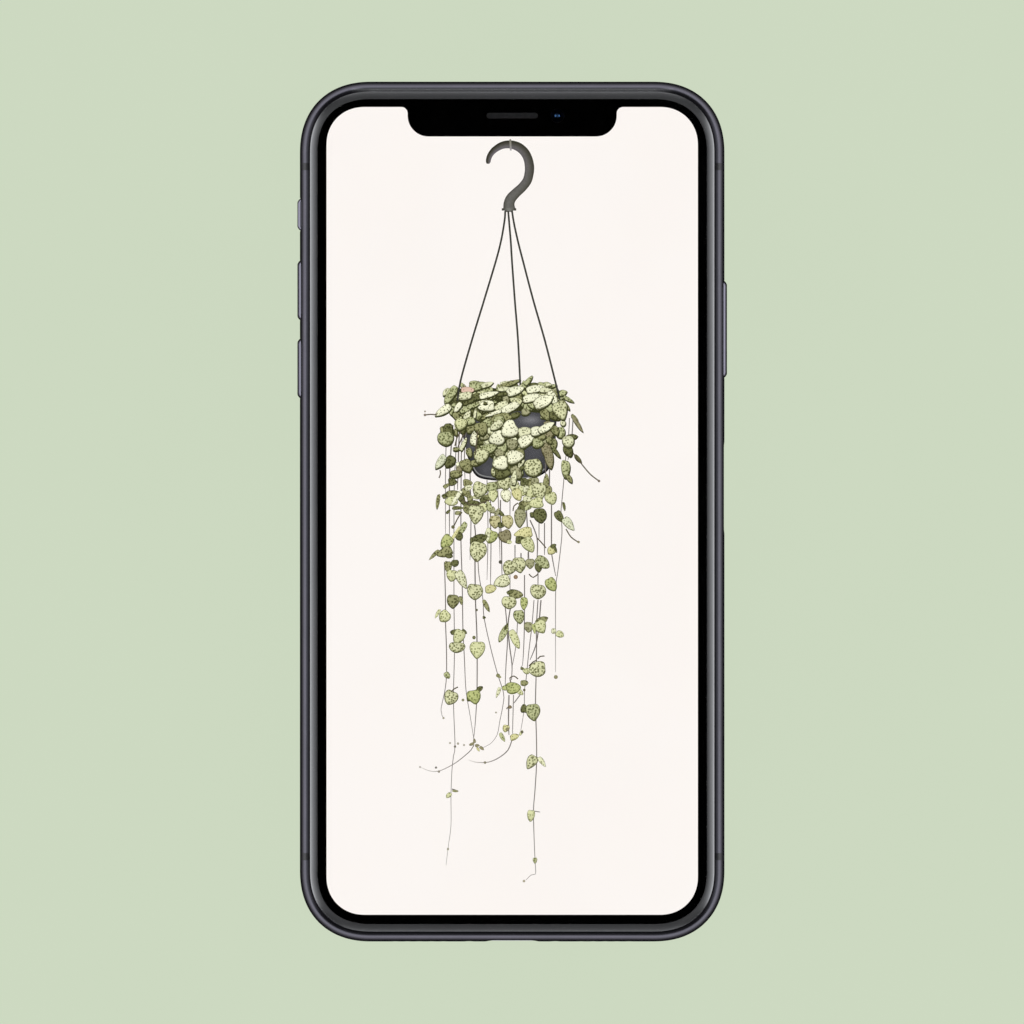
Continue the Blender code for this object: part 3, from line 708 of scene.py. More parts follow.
def makeFloorPaint():
    # pale paper that shows its colour to the camera, stays dim in polished edges and is clear
    # from below
    material, tree, shader = newGlowingMaterial("floor_paper")
    tree.nodes.remove(shader)
    paper = addNode(tree, "BsdfDiffuse")
    paper.inputs["Color"].default_value = tint(*studio["floor"])
    glow = addNode(tree, "Emission")
    base = tint(*studio["floor"])
    drift = useGroup(tree, colourDrift, Color=base, Drift=tint(*studio["floorDrift"]), Scale=0.02)
    feedNamed(tree, glow, {"Color": drift["Color"], "Strength": studio["floorStrength"]})
    lit = mixShaders(tree, studio["floorShade"], glow.outputs[0], paper.outputs[0])
    mirrored = addNode(tree, "Emission")
    level = onPoints(tree, "mirroredLevel")
    feedNamed(tree, mirrored, {"Color": tint(*studio["mirroredTint"]), "Strength": level})
    inMirrors = addNode(tree, "LightPath").outputs["Is Glossy Ray"]
    above = mixShaders(tree, inMirrors, lit, mirrored.outputs[0])
    fromBelow = addNode(tree, "NewGeometry").outputs["Backfacing"]
    clear = addNode(tree, "BsdfTransparent").outputs[0]
    sided = mixShaders(tree, fromBelow, above, clear)
    tree.links.new(sided, tree.nodes["Material Output"].inputs["Surface"])
    return material


def quarterTurned(vector, quarters):
    for _ in range(quarters):
        vector = Vector((-vector.y, vector.x))
    return vector


def cornerOutline(width, height, reach, steps, power=2.0):
    # (point, outward normal) round a rectangle with superellipse corners, from its upper right one on
    stations = []
    for quarter in range(4):
        across, up = (width, height) if quarter % 2 == 0 else (height, width)
        centre = Vector((across / 2 - reach, up / 2 - reach))
        for i in range(steps + 1):
            angle = pi / 2 * i / steps
            x = max(cos(angle), 0.0) ** (2 / power)
            y = max(sin(angle), 0.0) ** (2 / power)
            normal = Vector((x ** (power - 1), y ** (power - 1))).normalized()
            point = centre + Vector((x, y)) * reach
            stations.append((quarterTurned(point, quarter), quarterTurned(normal, quarter)))
    return stations


bodyOutline = cornerOutline(
    body["width"], body["height"], body["cornerReach"], body["cornerSteps"], body["cornerPower"]
)
sharpAngle = radians(30)  # edges that turn further than this stay sharp


def softenShading(mesh):
    mesh.shade_smooth()
    mesh.set_sharp_from_angle(angle=sharpAngle)


def keepOnPoints(mesh, name, values, kind="FLOAT"):
    # a value on each of the mesh's points, for its material to read
    field = {"FLOAT": "value", "FLOAT_VECTOR": "vector", "FLOAT_COLOR": "color"}[kind]
    flat = values if kind == "FLOAT" else [part for value in values for part in value]
    mesh.attributes.new(name, kind, "POINT").data.foreach_set(field, flat)


def showMesh(name, mesh, material):
    if material:
        mesh.materials.append(finishes[material])
    piece = bpy.data.objects.new(name, mesh)
    scene.collection.objects.link(piece)
    return piece


def addPiece(name, points, faces, material=None):
    # a mesh object from points in millimetres
    build = bmesh.new()
    verts = [build.verts.new(Vector(point) * mm) for point in points]
    for face in faces:
        build.faces.new([verts[index] for index in face])
    bmesh.ops.recalc_face_normals(build, faces=build.faces)
    mesh = bpy.data.meshes.new(name)
    build.to_mesh(mesh)
    build.free()
    softenShading(mesh)
    return showMesh(name, mesh, material)


def settle(piece, slotName, *nodes, rideOn="phone"):
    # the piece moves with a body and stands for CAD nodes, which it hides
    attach(piece, rideOn)
    if nodes:
        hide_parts(*nodes)


def joinLevels(sides, levels, endless=False):
    # quads between levels of so many points each; endless also joins the last level to the first
    faces = []
    for level in range(levels if endless else levels - 1):
        low = level * sides
        high = (level + 1) % levels * sides
        for i in range(sides):
            j = (i + 1) % sides
            faces.append([low + i, low + j, high + j, high + i])
    return faces


def loft(name, loops, material=None):
    # a solid through loops of equally many points, closed at both ends
    count = len(loops[0])
    points = [point for loop in loops for point in loop]
    ends = [list(range(count)), list(range(len(points) - count, len(points)))]
    return addPiece(name, points, ends + joinLevels(count, len(loops)), material)


def sweep(name, stations, section, closed, material):
    # a section of (depth, z) corners carried along stations of the body's outline
    sides = len(section)
    count = len(stations)
    points = []
    for point, normal in stations:
        for depth, z in section:
            points.append((point.x - normal.x * depth, point.y - normal.y * depth, z))
    faces = joinLevels(sides, count, closed)
    if not closed:
        faces.append(list(range(sides)))
        faces.append(list(range((count - 1) * sides, count * sides)))
    return addPiece(name, points, faces, material)


def bodyLoop(depth, z):
    return [(p.x - n.x * depth, p.y - n.y * depth, z) for p, n in bodyOutline]


def bodyPlate(name, profile, material):
    return loft(name, [bodyLoop(depth, z) for depth, z in profile], material)


def pile(name, levels, material=None):
    # (outline, z) levels one above the other
    return loft(name, [[(x, y, z) for x, y in outline] for outline, z in levels], material)


def prism(name, outline, levels, material=None):
    return pile(name, [(outline, z) for z in levels], material)


def arc(centre, radius, start, end, steps):
    angles = [radians(start + (end - start) * i / steps) for i in range(steps + 1)]
    return [(centre[0] + radius * cos(a), centre[1] + radius * sin(a)) for a in angles]


def circle(x, y, radius, steps=48):
    return arc((x, y), radius, 0, 360, steps)[:-1]


def pill(length, height, grow=0.0, steps=18):
    radius = height / 2 + grow
    reach = (length - height) / 2
    return arc((reach, 0), radius, -90, 90, steps) + arc((-reach, 0), radius, 90, 270, steps)


def quarterCurve(outer, inner, edge, top, steps):
    # (depth, z) along a quarter ellipse, from its upright edge to its flat top
    angles = [pi / 2 * i / steps for i in range(steps + 1)]
    return [(inner - (inner - outer) * cos(a), edge + (top - edge) * sin(a)) for a in angles]


def turnedPart(name, centre, profile, material, steps=64):
    # a turned solid about an upright axis, through (radius, z) points
    return pile(name, [(circle(*centre, radius, steps), z) for radius, z in profile], material)


def turnedRing(name, centre, profile, material, steps=72):
    # a turned ring: the profile closes on itself
    points = [(x, y, z) for radius, z in profile for x, y in circle(*centre, radius, steps)]
    return addPiece(name, points, joinLevels(steps, len(profile), True), material)


def distancesFrom(centre, mesh, narrowing=1.0):
    # how far each point lies from an upright axis, in millimetres
    x, y = centre
    return [hypot(v.co.x / mm - x, narrowing * (v.co.y / mm - y)) for v in mesh.vertices]


def carve(piece, cutters):
    # cuts the cutters out of the piece and removes them
    for cutter in cutters:
        step = piece.modifiers.new("carve", "BOOLEAN")
        step.object = cutter
        step.operation = "DIFFERENCE"
        step.solver = "EXACT"
    carved = bpy.data.meshes.new_from_object(
        piece.evaluated_get(bpy.context.evaluated_depsgraph_get())
    )
    piece.modifiers.clear()
    plain = piece.data
    piece.data = carved
    bpy.data.meshes.remove(plain)
    for cutter in cutters:
        bpy.data.meshes.remove(cutter.data)
    softenShading(carved)
    carved.name = piece.name


def buildFloor():
    points = []
    brightness = []
    for outside, level in studio["floorRings"]:
        points += bodyLoop(-outside, -studio["floorDrop"])
        brightness += [level] * len(bodyOutline)
    rings = joinLevels(len(bodyOutline), len(studio["floorRings"]))
    floor = addPiece("floor", points, rings)
    if floor.data.polygons[0].normal.z < 0:
        floor.data.flip_normals()
    keepOnPoints(floor.data, "mirroredLevel", brightness)
    floor.data.materials.append(makeFloorPaint())


buildStudio()
buildFloor()
print("Studio and floor built")


# The metal band in four lengths, with an antenna break between each two
band = {
    "depth": 1.62,
    "halfHeight": 3.27,
    "steps": 40,
    "wall": 2.8,
    "frontLedge": 6.75,
    "backLedge": 0.95,
    "breakY": 57.6, "breakWidth": 1.0, "breakGap": 0.005,
    "paintedHighlightDepths": (1.15, 1.30),  # where the painted highlight lies, on the top edge's inner half
    "paintedHighlightEnds": (1.0, 1.15),  # it fades out here, as shares of the straight run
}
throughBand = (-2.0, band["wall"] + 1.0)  # the depths a cutter runs between


def bandSection():
    steps = band["steps"]
    section = []
    for i in range(steps + 1):
        angle = radians(90 - 180 * i / steps)
        depth = band["depth"] * (1 - cos(angle))
        section.append((depth, middleZ + band["halfHeight"] * sin(angle)))
    for depth in (band["depth"], band["wall"]):
        section.append((depth, band["backLedge"]))
    for depth in (band["wall"], band["depth"]):
        section.append((depth, band["frontLedge"]))
    return section


def partWay(value, start, end):
    return min(max((value - start) / (end - start), 0.0), 1.0)


def paintTopHighlight(mesh):
    # a painted highlight on the inner half of the top edge, fading out round the corners
    fadeStart, fadeEnd = band["paintedHighlightEnds"]
    marks = []
    for vertex in mesh.vertices:
        x, y, z = vertex.co / mm
        across = abs(x) / (halfWidth - body["cornerReach"])
        inside = partWay(halfHeight - y, *band["paintedHighlightDepths"]) if z > middleZ else 0.0
        marks.append(inside * partWay(across, fadeEnd, fadeStart))
    keepOnPoints(mesh, "paintedEdgeHighlight", marks)


def buildBand():
    section = bandSection()
    half = band["breakWidth"] / 2 + body["gap"]
    right = Vector((1, 0))
    capEnd = band["breakY"] + half
    topRun = [(Vector((halfWidth, capEnd)), right)]
    topRun += bodyOutline[: len(bodyOutline) // 2]
    topRun.append((Vector((-halfWidth, capEnd)), -right))
    bottomRun = [(-point, -normal) for point, normal in topRun]
    lengths = {}
    for name, run in (("Top", topRun), ("Bottom", bottomRun)):
        lengths[name] = sweep("band" + name, run, section, False, "graphite_metal")
    sideEnd = band["breakY"] - half
    reach = half - band["breakGap"]
    for side, normal in (("Left", -right), ("Right", right)):
        x = normal.x * halfWidth
        straight = [(Vector((x, y)), normal) for y in (-sideEnd, sideEnd)]
        lengths[side] = sweep("band" + side, straight, section, False, "graphite_metal")
        for end, y in (("Upper", band["breakY"]), ("Lower", -band["breakY"])):
            filled = [(Vector((x, y + step)), normal) for step in (-reach, reach)]
            piece = sweep("antennaBreak" + side + end, filled, section, False, "antenna_plastic")
            node = "antenna_break_" + side.lower() + "_" + end.lower()
            settle(piece, "antenna_plastic", node)
    return lengths


bandLengths = buildBand()


# What moves in the sides, and the card tray: heights run across the band, depths in from its outline
keys = {
    "height": 3.0,
    "proud": 0.42,
    "roundingShare": 0.80,  # of half the height, across the band
    "roundingAlong": 0.75,
    "roundingReach": 0.62,  # from the outer face inwards, past the band's outline
    "roundingPower": 1.5,  # 2 is an ellipse; less turns fastest near the band
    "steps": 20,
    "flangeWidth": 0.5, "flangeDepth": 0.5,
    "innerDepth": 2.9,
    "rows": (
        # name, CAD node, body, side, middle along Y, length
        ("volumeUpKey", "volume_up_key", "volume_up", "Left", 36.95, 10.1),
        ("volumeDownKey", "volume_down_key", "volume_down", "Left", 23.9, 10.1),
        ("sideKey", "side_key", "side_button", "Right", 30.45, 16.3),
    ),
}
lever = {
    "y": 49.6,
    "length": 5.4,
    "height": 1.9,
    "lift": 0.55,
    "flangeWidth": 0.7, "flangeDepth": 0.4,
}
tray = {
    "y": 4.0,
    "length": 15.2,
    "height": 2.0,
    "sunk": 0.12,
    "rounding": 0.06, "roundingSteps": 4,
    "headDepth": 2.4, "headOverlap": 0.1,
    "carrierReach": 13.9, "carrierWidth": 13.6, "carrierHeight": 1.0,
    "pocketFloor": 0.25,
    "cardLength": 12.3, "cardWidth": 8.8, "cardDepth": 4.1,
    "pinHoleOffset": -6.4, "pinHoleSize": 0.8, "pinHoleLength": 0.82, "pinHoleDepths": (-1.0, 1.6),
}


def sideStack(name, side, y, levels, material=None, shape=pill):
    # a piece that runs in through the band at a side, as (depth, length, height, z) levels
    way = 1 if side == "Right" else -1
    loops = []
    for depth, length, height, z in levels:
        x = way * (halfWidth - depth)
        loops.append([(x, y + along, z + up) for along, up in shape(length, height)])
    return loft(name, loops, material)


def sideCutter(side, y, length, height, shape=pill):
    grow = 2 * body["gap"]
    levels = [(depth, length + grow, height + grow, middleZ) for depth in throughBand]
    return sideStack("cutter", side, y, levels, shape=shape)


def cappedLevels(size, length, z):
    # a cap with rounded edges outside the band and a flange inside it
    height = size["height"]
    across = keys["roundingShare"] * height
    power = 2 / keys["roundingPower"]
    levels = []
    for i in range(keys["steps"] + 1):
        turn = pi / 2 * i / keys["steps"]
        depth = keys["roundingReach"] * (1 - cos(turn) ** power) - keys["proud"]
        left = 1 - sin(turn) ** power
        levels.append((depth, length - 2 * keys["roundingAlong"] * left, height - across * left, z))
    levels.append((keys["innerDepth"], length, height, z))
    widen = size["flangeWidth"]
    for depth in (keys["innerDepth"], keys["innerDepth"] + size["flangeDepth"]):
        levels.append((depth, length + 2 * widen, height + widen, z))
    return levels


def leverSlot(length, height, steps=12):
    # the lever's outline drawn out over its travel
    radius = lever["height"] / 2 + body["gap"]
    x = length / 2 - radius
    y = height / 2 - radius
    right = arc((x, -y), radius, -90, 0, steps) + arc((x, y), radius, 0, 90, steps)
    left = arc((-x, y), radius, 90, 180, steps) + arc((-x, -y), radius, 180, 270, steps)
    return right + left


def addBox(build, depths, across, levels):
    # a wall of the tray's carrier, between two depths, two places along the side and two heights
    corners = [(halfWidth - d, tray["y"] + y, z) for z in levels for y in across for d in depths]
    verts = [build.verts.new(Vector(corner) * mm) for corner in corners]
    sides = [[0, 1, 3, 2], [4, 5, 7, 6], [0, 1, 5, 4], [2, 3, 7, 6], [0, 2, 6, 4], [1, 3, 7, 5]]
    added = [build.faces.new([verts[index] for index in side]) for side in sides]
    bmesh.ops.recalc_face_normals(build, faces=added)


def buildTray():
    rounding = tray["rounding"]
    levels = []
    for i in range(tray["roundingSteps"] + 1):
        turn = pi / 2 * i / tray["roundingSteps"]
        soft = 2 * rounding * (1 - sin(turn))
        depth = tray["sunk"] + rounding * (1 - cos(turn))
        levels.append((depth, tray["length"] - soft, tray["height"] - soft, middleZ))
    levels.append((tray["headDepth"], tray["length"], tray["height"], middleZ))
    head = sideStack("cardTray", "Right", tray["y"], levels, "graphite_metal")
    pinY = tray["y"] + tray["pinHoleOffset"]
    pinSize = (tray["pinHoleLength"], tray["pinHoleSize"], middleZ)
    carve(head, [sideStack("cutter", "Right", pinY, [(d, *pinSize) for d in tray["pinHoleDepths"]])])
    low = middleZ - tray["carrierHeight"] / 2
    high = middleZ + tray["carrierHeight"] / 2
    floorTop = low + tray["pocketFloor"]
    half = tray["carrierWidth"] / 2
    pocket = tray["cardLength"] / 2 + body["gap"]
    start = tray["cardDepth"] - body["gap"]
    end = tray["cardDepth"] + tray["cardWidth"] + body["gap"]
    front = tray["headDepth"] - tray["headOverlap"]
    back = tray["carrierReach"]
    build = bmesh.new()
    build.from_mesh(head.data)
    addBox(build, (front, back), (-half, half), (low, floorTop))
    addBox(build, (front, back), (-half, -pocket), (floorTop, high))
    addBox(build, (front, back), (pocket, half), (floorTop, high))
    addBox(build, (front, start), (-pocket, pocket), (floorTop, high))
    addBox(build, (end, back), (-pocket, pocket), (floorTop, high))
    build.to_mesh(head.data)
    build.free()
    softenShading(head.data)
    settle(head, "graphite_metal", "sim_tray", rideOn="card_tray")


def buildSides():
    cutters = {"Left": [], "Right": []}
    for name, node, rider, side, y, length in keys["rows"]:
        key = sideStack(name, side, y, cappedLevels(keys, length, middleZ), "key_metal")
        settle(key, "graphite_metal", node, rideOn=rider)
        cutters[side].append(sideCutter(side, y, length, keys["height"]))
    levels = cappedLevels(lever, lever["length"], middleZ + lever["lift"])
    piece = sideStack("muteLever", "Left", lever["y"], levels, "key_metal")
    settle(piece, "graphite_metal", "mute_switch", rideOn="mute")
    swept = lever["height"] + 2 * lever["lift"]
    cutters["Left"].append(sideCutter("Left", lever["y"], lever["length"], swept, leverSlot))
    buildTray()
    cutters["Right"].append(sideCutter("Right", tray["y"], tray["length"], tray["height"]))
    for side in cutters:
        carve(bandLengths[side], cutters[side])
        settle(bandLengths[side], "graphite_metal", "band_" + side.lower())
    # painted highlight along the top band's inner edge
    paintTopHighlight(bandLengths["Top"].data)
    settle(bandLengths["Top"], "graphite_metal", "band_top")


buildSides()
print("Band, keys, lever and tray built")


# The bottom edge: port, sound holes and case screws, with depths counted in from the outline
bottomEdge = {
    "portWidth": 8.8, "portHeight": 3.0, "portWall": 0.3, "portDepths": (0.15, 7.6),
    "portLip": ((0.05, 0.0), (0.22, 0.0), (0.28, 0.05), (0.3, 0.12)),  # (inset, depth past its front)
    "portEdge": 0.05,
    "socketDepth": 7.0,
    "tongueWidth": 6.4, "tongueHeight": 0.7, "tongueChamfer": 0.12, "tongueNose": (0.97, 0.72),
    "noseLength": 0.15,
    "tongueDepths": (1.6, 6.95),
    "contacts": 8,
    "contactWidths": (0.32, 0.26),  # at its foot and at its top
    "contactRise": 0.02, "contactDepths": (2.1, 5.2),
    "soundCount": 5, "soundPitch": 2.0, "soundRadius": 0.6, "soundX": 15.5,
    "screwX": 7.2, "screwRadius": 0.75, "screwDepths": (0.15, 4.6),
    "screwRim": ((0.0, 0.08), (0.03, 0.02), (0.08, 0.0)),  # (inset, depth past its front)
    "driveRadius": 0.4, "driveChamfer": (0.03, 0.04), "driveDepth": 0.6,
    "driveLobes": (5, 0.14),  # how many, and their share of the radius
}


def edgeStack(name, x, levels, material=None):
    # outlines carried inwards from the bottom edge, as (outline, depth) levels
    loops = []
    for outline, depth in levels:
        loops.append([(x + u, depth - halfHeight, middleZ + v) for u, v in outline])
    return loft(name, loops, material)


def driveOutline(radius, steps=60):
    # rounded lobes round a screw's middle
    lobes, depth = bottomEdge["driveLobes"]
    points = []
    for i in range(steps):
        angle = 2 * pi * i / steps
        reach = radius * (1 - depth + depth * cos(lobes * angle))
        points.append((reach * cos(angle), reach * sin(angle)))
    return points


def portOutline(inset=0.0):
    return pill(bottomEdge["portWidth"], bottomEdge["portHeight"], -inset)


def buildPort():
    size = bottomEdge
    start, end = size["portDepths"]
    levels = [(portOutline(), end), (portOutline(), start + size["portEdge"])]
    levels += [(portOutline(inset), start + depth) for inset, depth in size["portLip"]]
    levels.append((portOutline(size["portWall"]), size["socketDepth"]))
    settle(edgeStack("portShell", 0, levels, "steel"), "steel", "port_shell")
    half = size["tongueWidth"] / 2
    tall = size["tongueHeight"] / 2
    soft = size["tongueChamfer"]
    slab = [(-half + soft, -tall), (half - soft, -tall), (half, -tall + soft), (half, tall - soft)]
    slab += [(-x, -y) for x, y in slab]
    narrower, thinner = size["tongueNose"]
    nose = [(x * narrower, y * thinner) for x, y in slab]
    start, end = size["tongueDepths"]
    levels = [(nose, start), (slab, start + size["noseLength"]), (slab, end)]
    settle(edgeStack("portTongue", 0, levels, "black_plastic"), "black_plastic", "port_tongue")
    foot, top = (width / 2 for width in size["contactWidths"])
    low = tall - size["contactRise"]
    high = tall + size["contactRise"]
    strip = [(-foot, low), (foot, low), (top, high), (-top, high)]
    pitch = size["tongueWidth"] / size["contacts"]
    for i in range(size["contacts"]):
        x = (i - (size["contacts"] - 1) / 2) * pitch
        contact = edgeStack(f"portContact{i}", x, [(strip, d) for d in size["contactDepths"]], "copper")
        settle(contact, "copper")


def buildScrews():
    size = bottomEdge
    start, end = size["screwDepths"]
    radius = size["screwRadius"]
    wider, deeper = size["driveChamfer"]
    drive = driveOutline(size["driveRadius"])
    levels = [(circle(0, 0, radius, 60), end)]
    levels += [(circle(0, 0, radius - inset, 60), start + depth) for inset, depth in size["screwRim"]]
    levels.append((driveOutline(size["driveRadius"] + wider), start))
    levels += [(drive, start + deeper), (drive, start + size["driveDepth"])]
    for place, x in (("left", -size["screwX"]), ("right", size["screwX"])):
        screw = edgeStack("caseScrew" + place.capitalize(), x, levels, "steel")
        settle(screw, "steel", "case_screw_" + place)


def buildBottomHoles():
    size = bottomEdge
    holes = [(0, portOutline(-body["gap"]))]
    for side in (-1, 1):
        for i in range(size["soundCount"]):
            x = side * size["soundX"] + (i - (size["soundCount"] - 1) / 2) * size["soundPitch"]
            holes.append((x, circle(0, 0, size["soundRadius"], 32)))
        clearance = circle(0, 0, size["screwRadius"] + body["gap"], 40)
        holes.append((side * size["screwX"], clearance))
    cutters = [edgeStack("cutter", x, [(outline, d) for d in throughBand]) for x, outline in holes]
    carve(bandLengths["Bottom"], cutters)
    settle(bandLengths["Bottom"], "graphite_metal", "band_bottom")


buildPort()
buildScrews()
buildBottomHoles()
print("Bottom edge built")


# The front: the glass in its polished ring, the printed border, the earpiece and the camera
front = {
    "ringDepth": 1.72, "ringInner": 2.93, "ringEdge": 7.10, "ringTop": 7.66, "ringStart": 33.0,
    "glassDepth": 3.05, "glassBottom": 6.85, "glassRounding": 0.02,
    "glassFlat": 0.02,  # keeps the rounding's shading off the flat face
    "borderInset": 2.95, "borderLevels": (6.70, 6.80),
    "cutLevels": (6.0, 8.7),
    "sensorY": 66.1,
    "earpieceLength": 8.7, "earpieceHeight": 1.1, "earpieceLevels": (6.80, 7.55),
    "earpieceLip": ((0.0, 0.06), (0.03, 0.01), (0.08, 0.0), (0.14, 0.05)),  # (inset, how far down)
}
display = {
    "width": 62.0,
    "height": 134.85,
    "shift": 0.12,
    "cornerReach": 6.35, "cornerPower": 2.1,
    "notchWidth": 34.9, "notchDepth": 4.925, "notchCorner": 3.47, "notchFlare": 1.05,
    "overlap": 0.4,
    "levels": (5.70, 6.60),
}
frontEye = {
    "x": 7.53,
    "hole": 1.2,
    "radius": 1.1,
    "levels": (6.0, 6.78),
    # (inset, how far down) from the rim's outer edge to the foot of the well
    "rim": ((0.0, 0.06), (0.05, 0.01), (0.1, 0.0), (0.17, 0.0), (0.2, 0.05), (0.22, 0.55)),
    "domeRadius": 0.70, "domeSlope": 75.0, "domeSunk": 0.57, "domeSteps": 17,
    "narrowing": 2.2,  # keeps the blue to two glints, left and right
}


def displayOutline(grow=0.0, steps=20):
    # the screen's edge with its notch, grown outwards by a margin
    size = display
    points = []
    corners = (size["cornerReach"], steps, size["cornerPower"])
    for point, normal in cornerOutline(size["width"], size["height"], *corners):
        points.append((point.x + normal.x * grow, point.y + normal.y * grow + size["shift"]))
    top = size["height"] / 2 + size["shift"]
    half = size["notchWidth"] / 2
    flare = size["notchFlare"]
    corner = size["notchCorner"]
    rightSide = arc((half + flare, top - flare), flare + grow, 90, 180, steps // 2)
    rightSide += arc((half - corner, top - size["notchDepth"] + corner), corner - grow, 0, -90, steps)
    leftSide = [(-x, y) for x, y in reversed(rightSide)]
    return points[: steps + 1] + rightSide + leftSide + points[steps + 1 :]


def earpieceOutline(inset=0.0):
    slotShape = pill(front["earpieceLength"], front["earpieceHeight"], -inset)
    return [(x, y + front["sensorY"]) for x, y in slotShape]


def ringCurve(steps=24):
    # the outer part of a quarter ellipse, begun where it already leans inwards
    inner = front["ringInner"]
    edge = front["ringEdge"]
    begin = radians(front["ringStart"])
    across = (inner - front["ringDepth"]) / cos(begin)
    up = front["ringTop"] - edge
    angles = [begin + (pi / 2 - begin) * i / steps for i in range(steps + 1)]
    return [(inner - across * cos(a), edge + up * sin(a)) for a in angles]


def buildFront():
    bottom = front["glassBottom"]
    section = [(front["ringDepth"], bottom), *ringCurve(), (front["ringInner"], bottom)]
    ring = sweep("screenRing", bodyOutline, section, True, "polished_trim")
    settle(ring, "polished_trim", "screen_ring")
    depth = front["glassDepth"]
    flat = depth + front["glassRounding"]
    top = body["thickness"]
    edge = quarterCurve(depth, flat, top - front["glassRounding"], top, 5)
    profile = [(depth, bottom), *edge, (flat + front["glassFlat"], top)]
    glass = bodyPlate("frontGlass", profile, "front_glass")
    through = front["cutLevels"]
    carve(glass, [prism("cutter", earpieceOutline(), through)])
    settle(glass, "front_glass", "front_glass")
    profile = [(front["borderInset"], z) for z in front["borderLevels"]]
    border = bodyPlate("screenBorder", profile, "black_ink")
    eyeHole = circle(frontEye["x"], front["sensorY"], frontEye["hole"], 64)
    openings = (displayOutline(), eyeHole, earpieceOutline())
    carve(border, [prism("cutter", outline, through) for outline in openings])
    settle(border, "black_ink", "screen_border")
    low, high = front["earpieceLevels"]
    gap = body["gap"]
    levels = [(earpieceOutline(gap), low)]
    levels += [(earpieceOutline(gap + inset), high - down) for inset, down in front["earpieceLip"]]
    mesh = pile("earpieceMesh", levels, "sound_mesh")
    settle(mesh, "black_plastic", "earpiece_mesh")
    outline = displayOutline(display["overlap"])
    ground = prism("displayPanel", outline, display["levels"], "screen_ground")
    settle(ground, "display", "display_panel")


def domeProfile(radius, slope, steps):
    # (radius, height over its rim) up a shallow dome, ending just short of its middle
    slope = radians(slope)
    curve = radius / sin(slope)
    turns = [slope * (1 - i / (steps - 0.5)) for i in range(steps)]
    return [(curve * sin(turn), curve * (cos(turn) - cos(slope))) for turn in turns]


def buildEye():
    size = frontEye
    low, high = size["levels"]
    profile = [(size["radius"], low)]
    profile += [(size["radius"] - inset, high - down) for inset, down in size["rim"]]
    dome = domeProfile(size["domeRadius"], size["domeSlope"], size["domeSteps"])
    profile += [(radius, high - size["domeSunk"] + rise) for radius, rise in dome]
    centre = (size["x"], front["sensorY"])
    lens = turnedPart("frontCameraLens", centre, profile, "camera_eye")
    keepOnPoints(lens.data, "eyeRadius", distancesFrom(centre, lens.data, size["narrowing"]))
    settle(lens, "dark_lens", "front_camera_lens")


buildFront()
buildEye()
print("Front built")


# The back: its glass, the window over the cameras, the lenses and the flash
rear = {
    "depth": 1.72,
    "flat": 2.97, "flatMargin": 0.05,
    "edge": 0.60,
    "top": 0.85,
    "cutLevels": (-1.0, 3.0),
    "x": 22.5,
    "y": 52.2,
    "windowWidth": 13.4, "windowLength": 29.0, "windowSunk": 0.05,
    "windowEdge": ((0.06, 0.0), (0.02, 0.02), (0.0, 0.08)),  # (inset, how far up)
    "lensPitch": 15.6, "lensRadius": 4.5, "lensLevels": (0.12, 0.80),
    "trimWidth": 0.42, "trimInside": ((0.0, 0.1), (0.05, 0.03), (0.12, 0.0)),
    "trimOutside": ((0.12, 0.0), (0.04, 0.03), (0.0, 0.1)),
    "coverEdge": ((0.01, 0.12), (0.06, 0.06)),
    "flashRadius": 2.1, "flashLevels": (0.10, 1.8), "flashEdge": ((0.0, 0.1), (0.06, 0.0)),
    "ridgeStart": 0.2, "ridgePitch": 0.22, "ridgeHeight": 0.09, "ridgeSlant": 0.02,
    "ridgeEnd": 0.25,
}
rearEye = {
    "barrelRadius": 4.2, "barrelLevels": (0.95, 2.3),
    "steps": 6,  # rings that lead in to the front element
    "stepStart": 0.25, "stepWidth": 0.38, "stepHeight": 0.11,
    "domeSlope": 38.0, "domeSunk": 0.35, "domeFlatness": 0.4424, "domeSteps": 12,
    "fadeScale": 0.4,  # what a millimetre counts for in the coating's fade to its rim
    "blockSize": 10.8, "blockLevels": (1.9, 5.1), "blockCorner": 0.3, "blockChamfer": 0.15,
}
lensHalfPitch = rear["lensPitch"] / 2
lensPlaces = {"Upper": rear["y"] + lensHalfPitch, "Lower": rear["y"] - lensHalfPitch}


def rearPill(inset=0.0):
    outline = pill(rear["windowLength"], rear["windowWidth"], -inset, 32)
    return [(rear["x"] - y, rear["y"] + x) for x, y in outline]


def buildRearLens(place, centre):
    low, high = rear["lensLevels"]
    outer = rear["lensRadius"]
    inner = outer - rear["trimWidth"]
    profile = [(inner, high)]
    profile += [(inner + inset, low + up) for inset, up in rear["trimInside"]]
    profile += [(outer - inset, low + up) for inset, up in rear["trimOutside"]]
    profile.append((outer, high))
    trim = turnedRing("rearLensTrim" + place, centre, profile, "polished_trim")
    settle(trim, "dark_lens", "rear_lens_" + place.lower())
    edge = [(inner - inset, low + up) for inset, up in rear["coverEdge"]]
    cover = turnedPart("rearLensCover" + place, centre, [(edge[0][0], high), *edge], "lens_cover")
    settle(cover, "dark_lens")


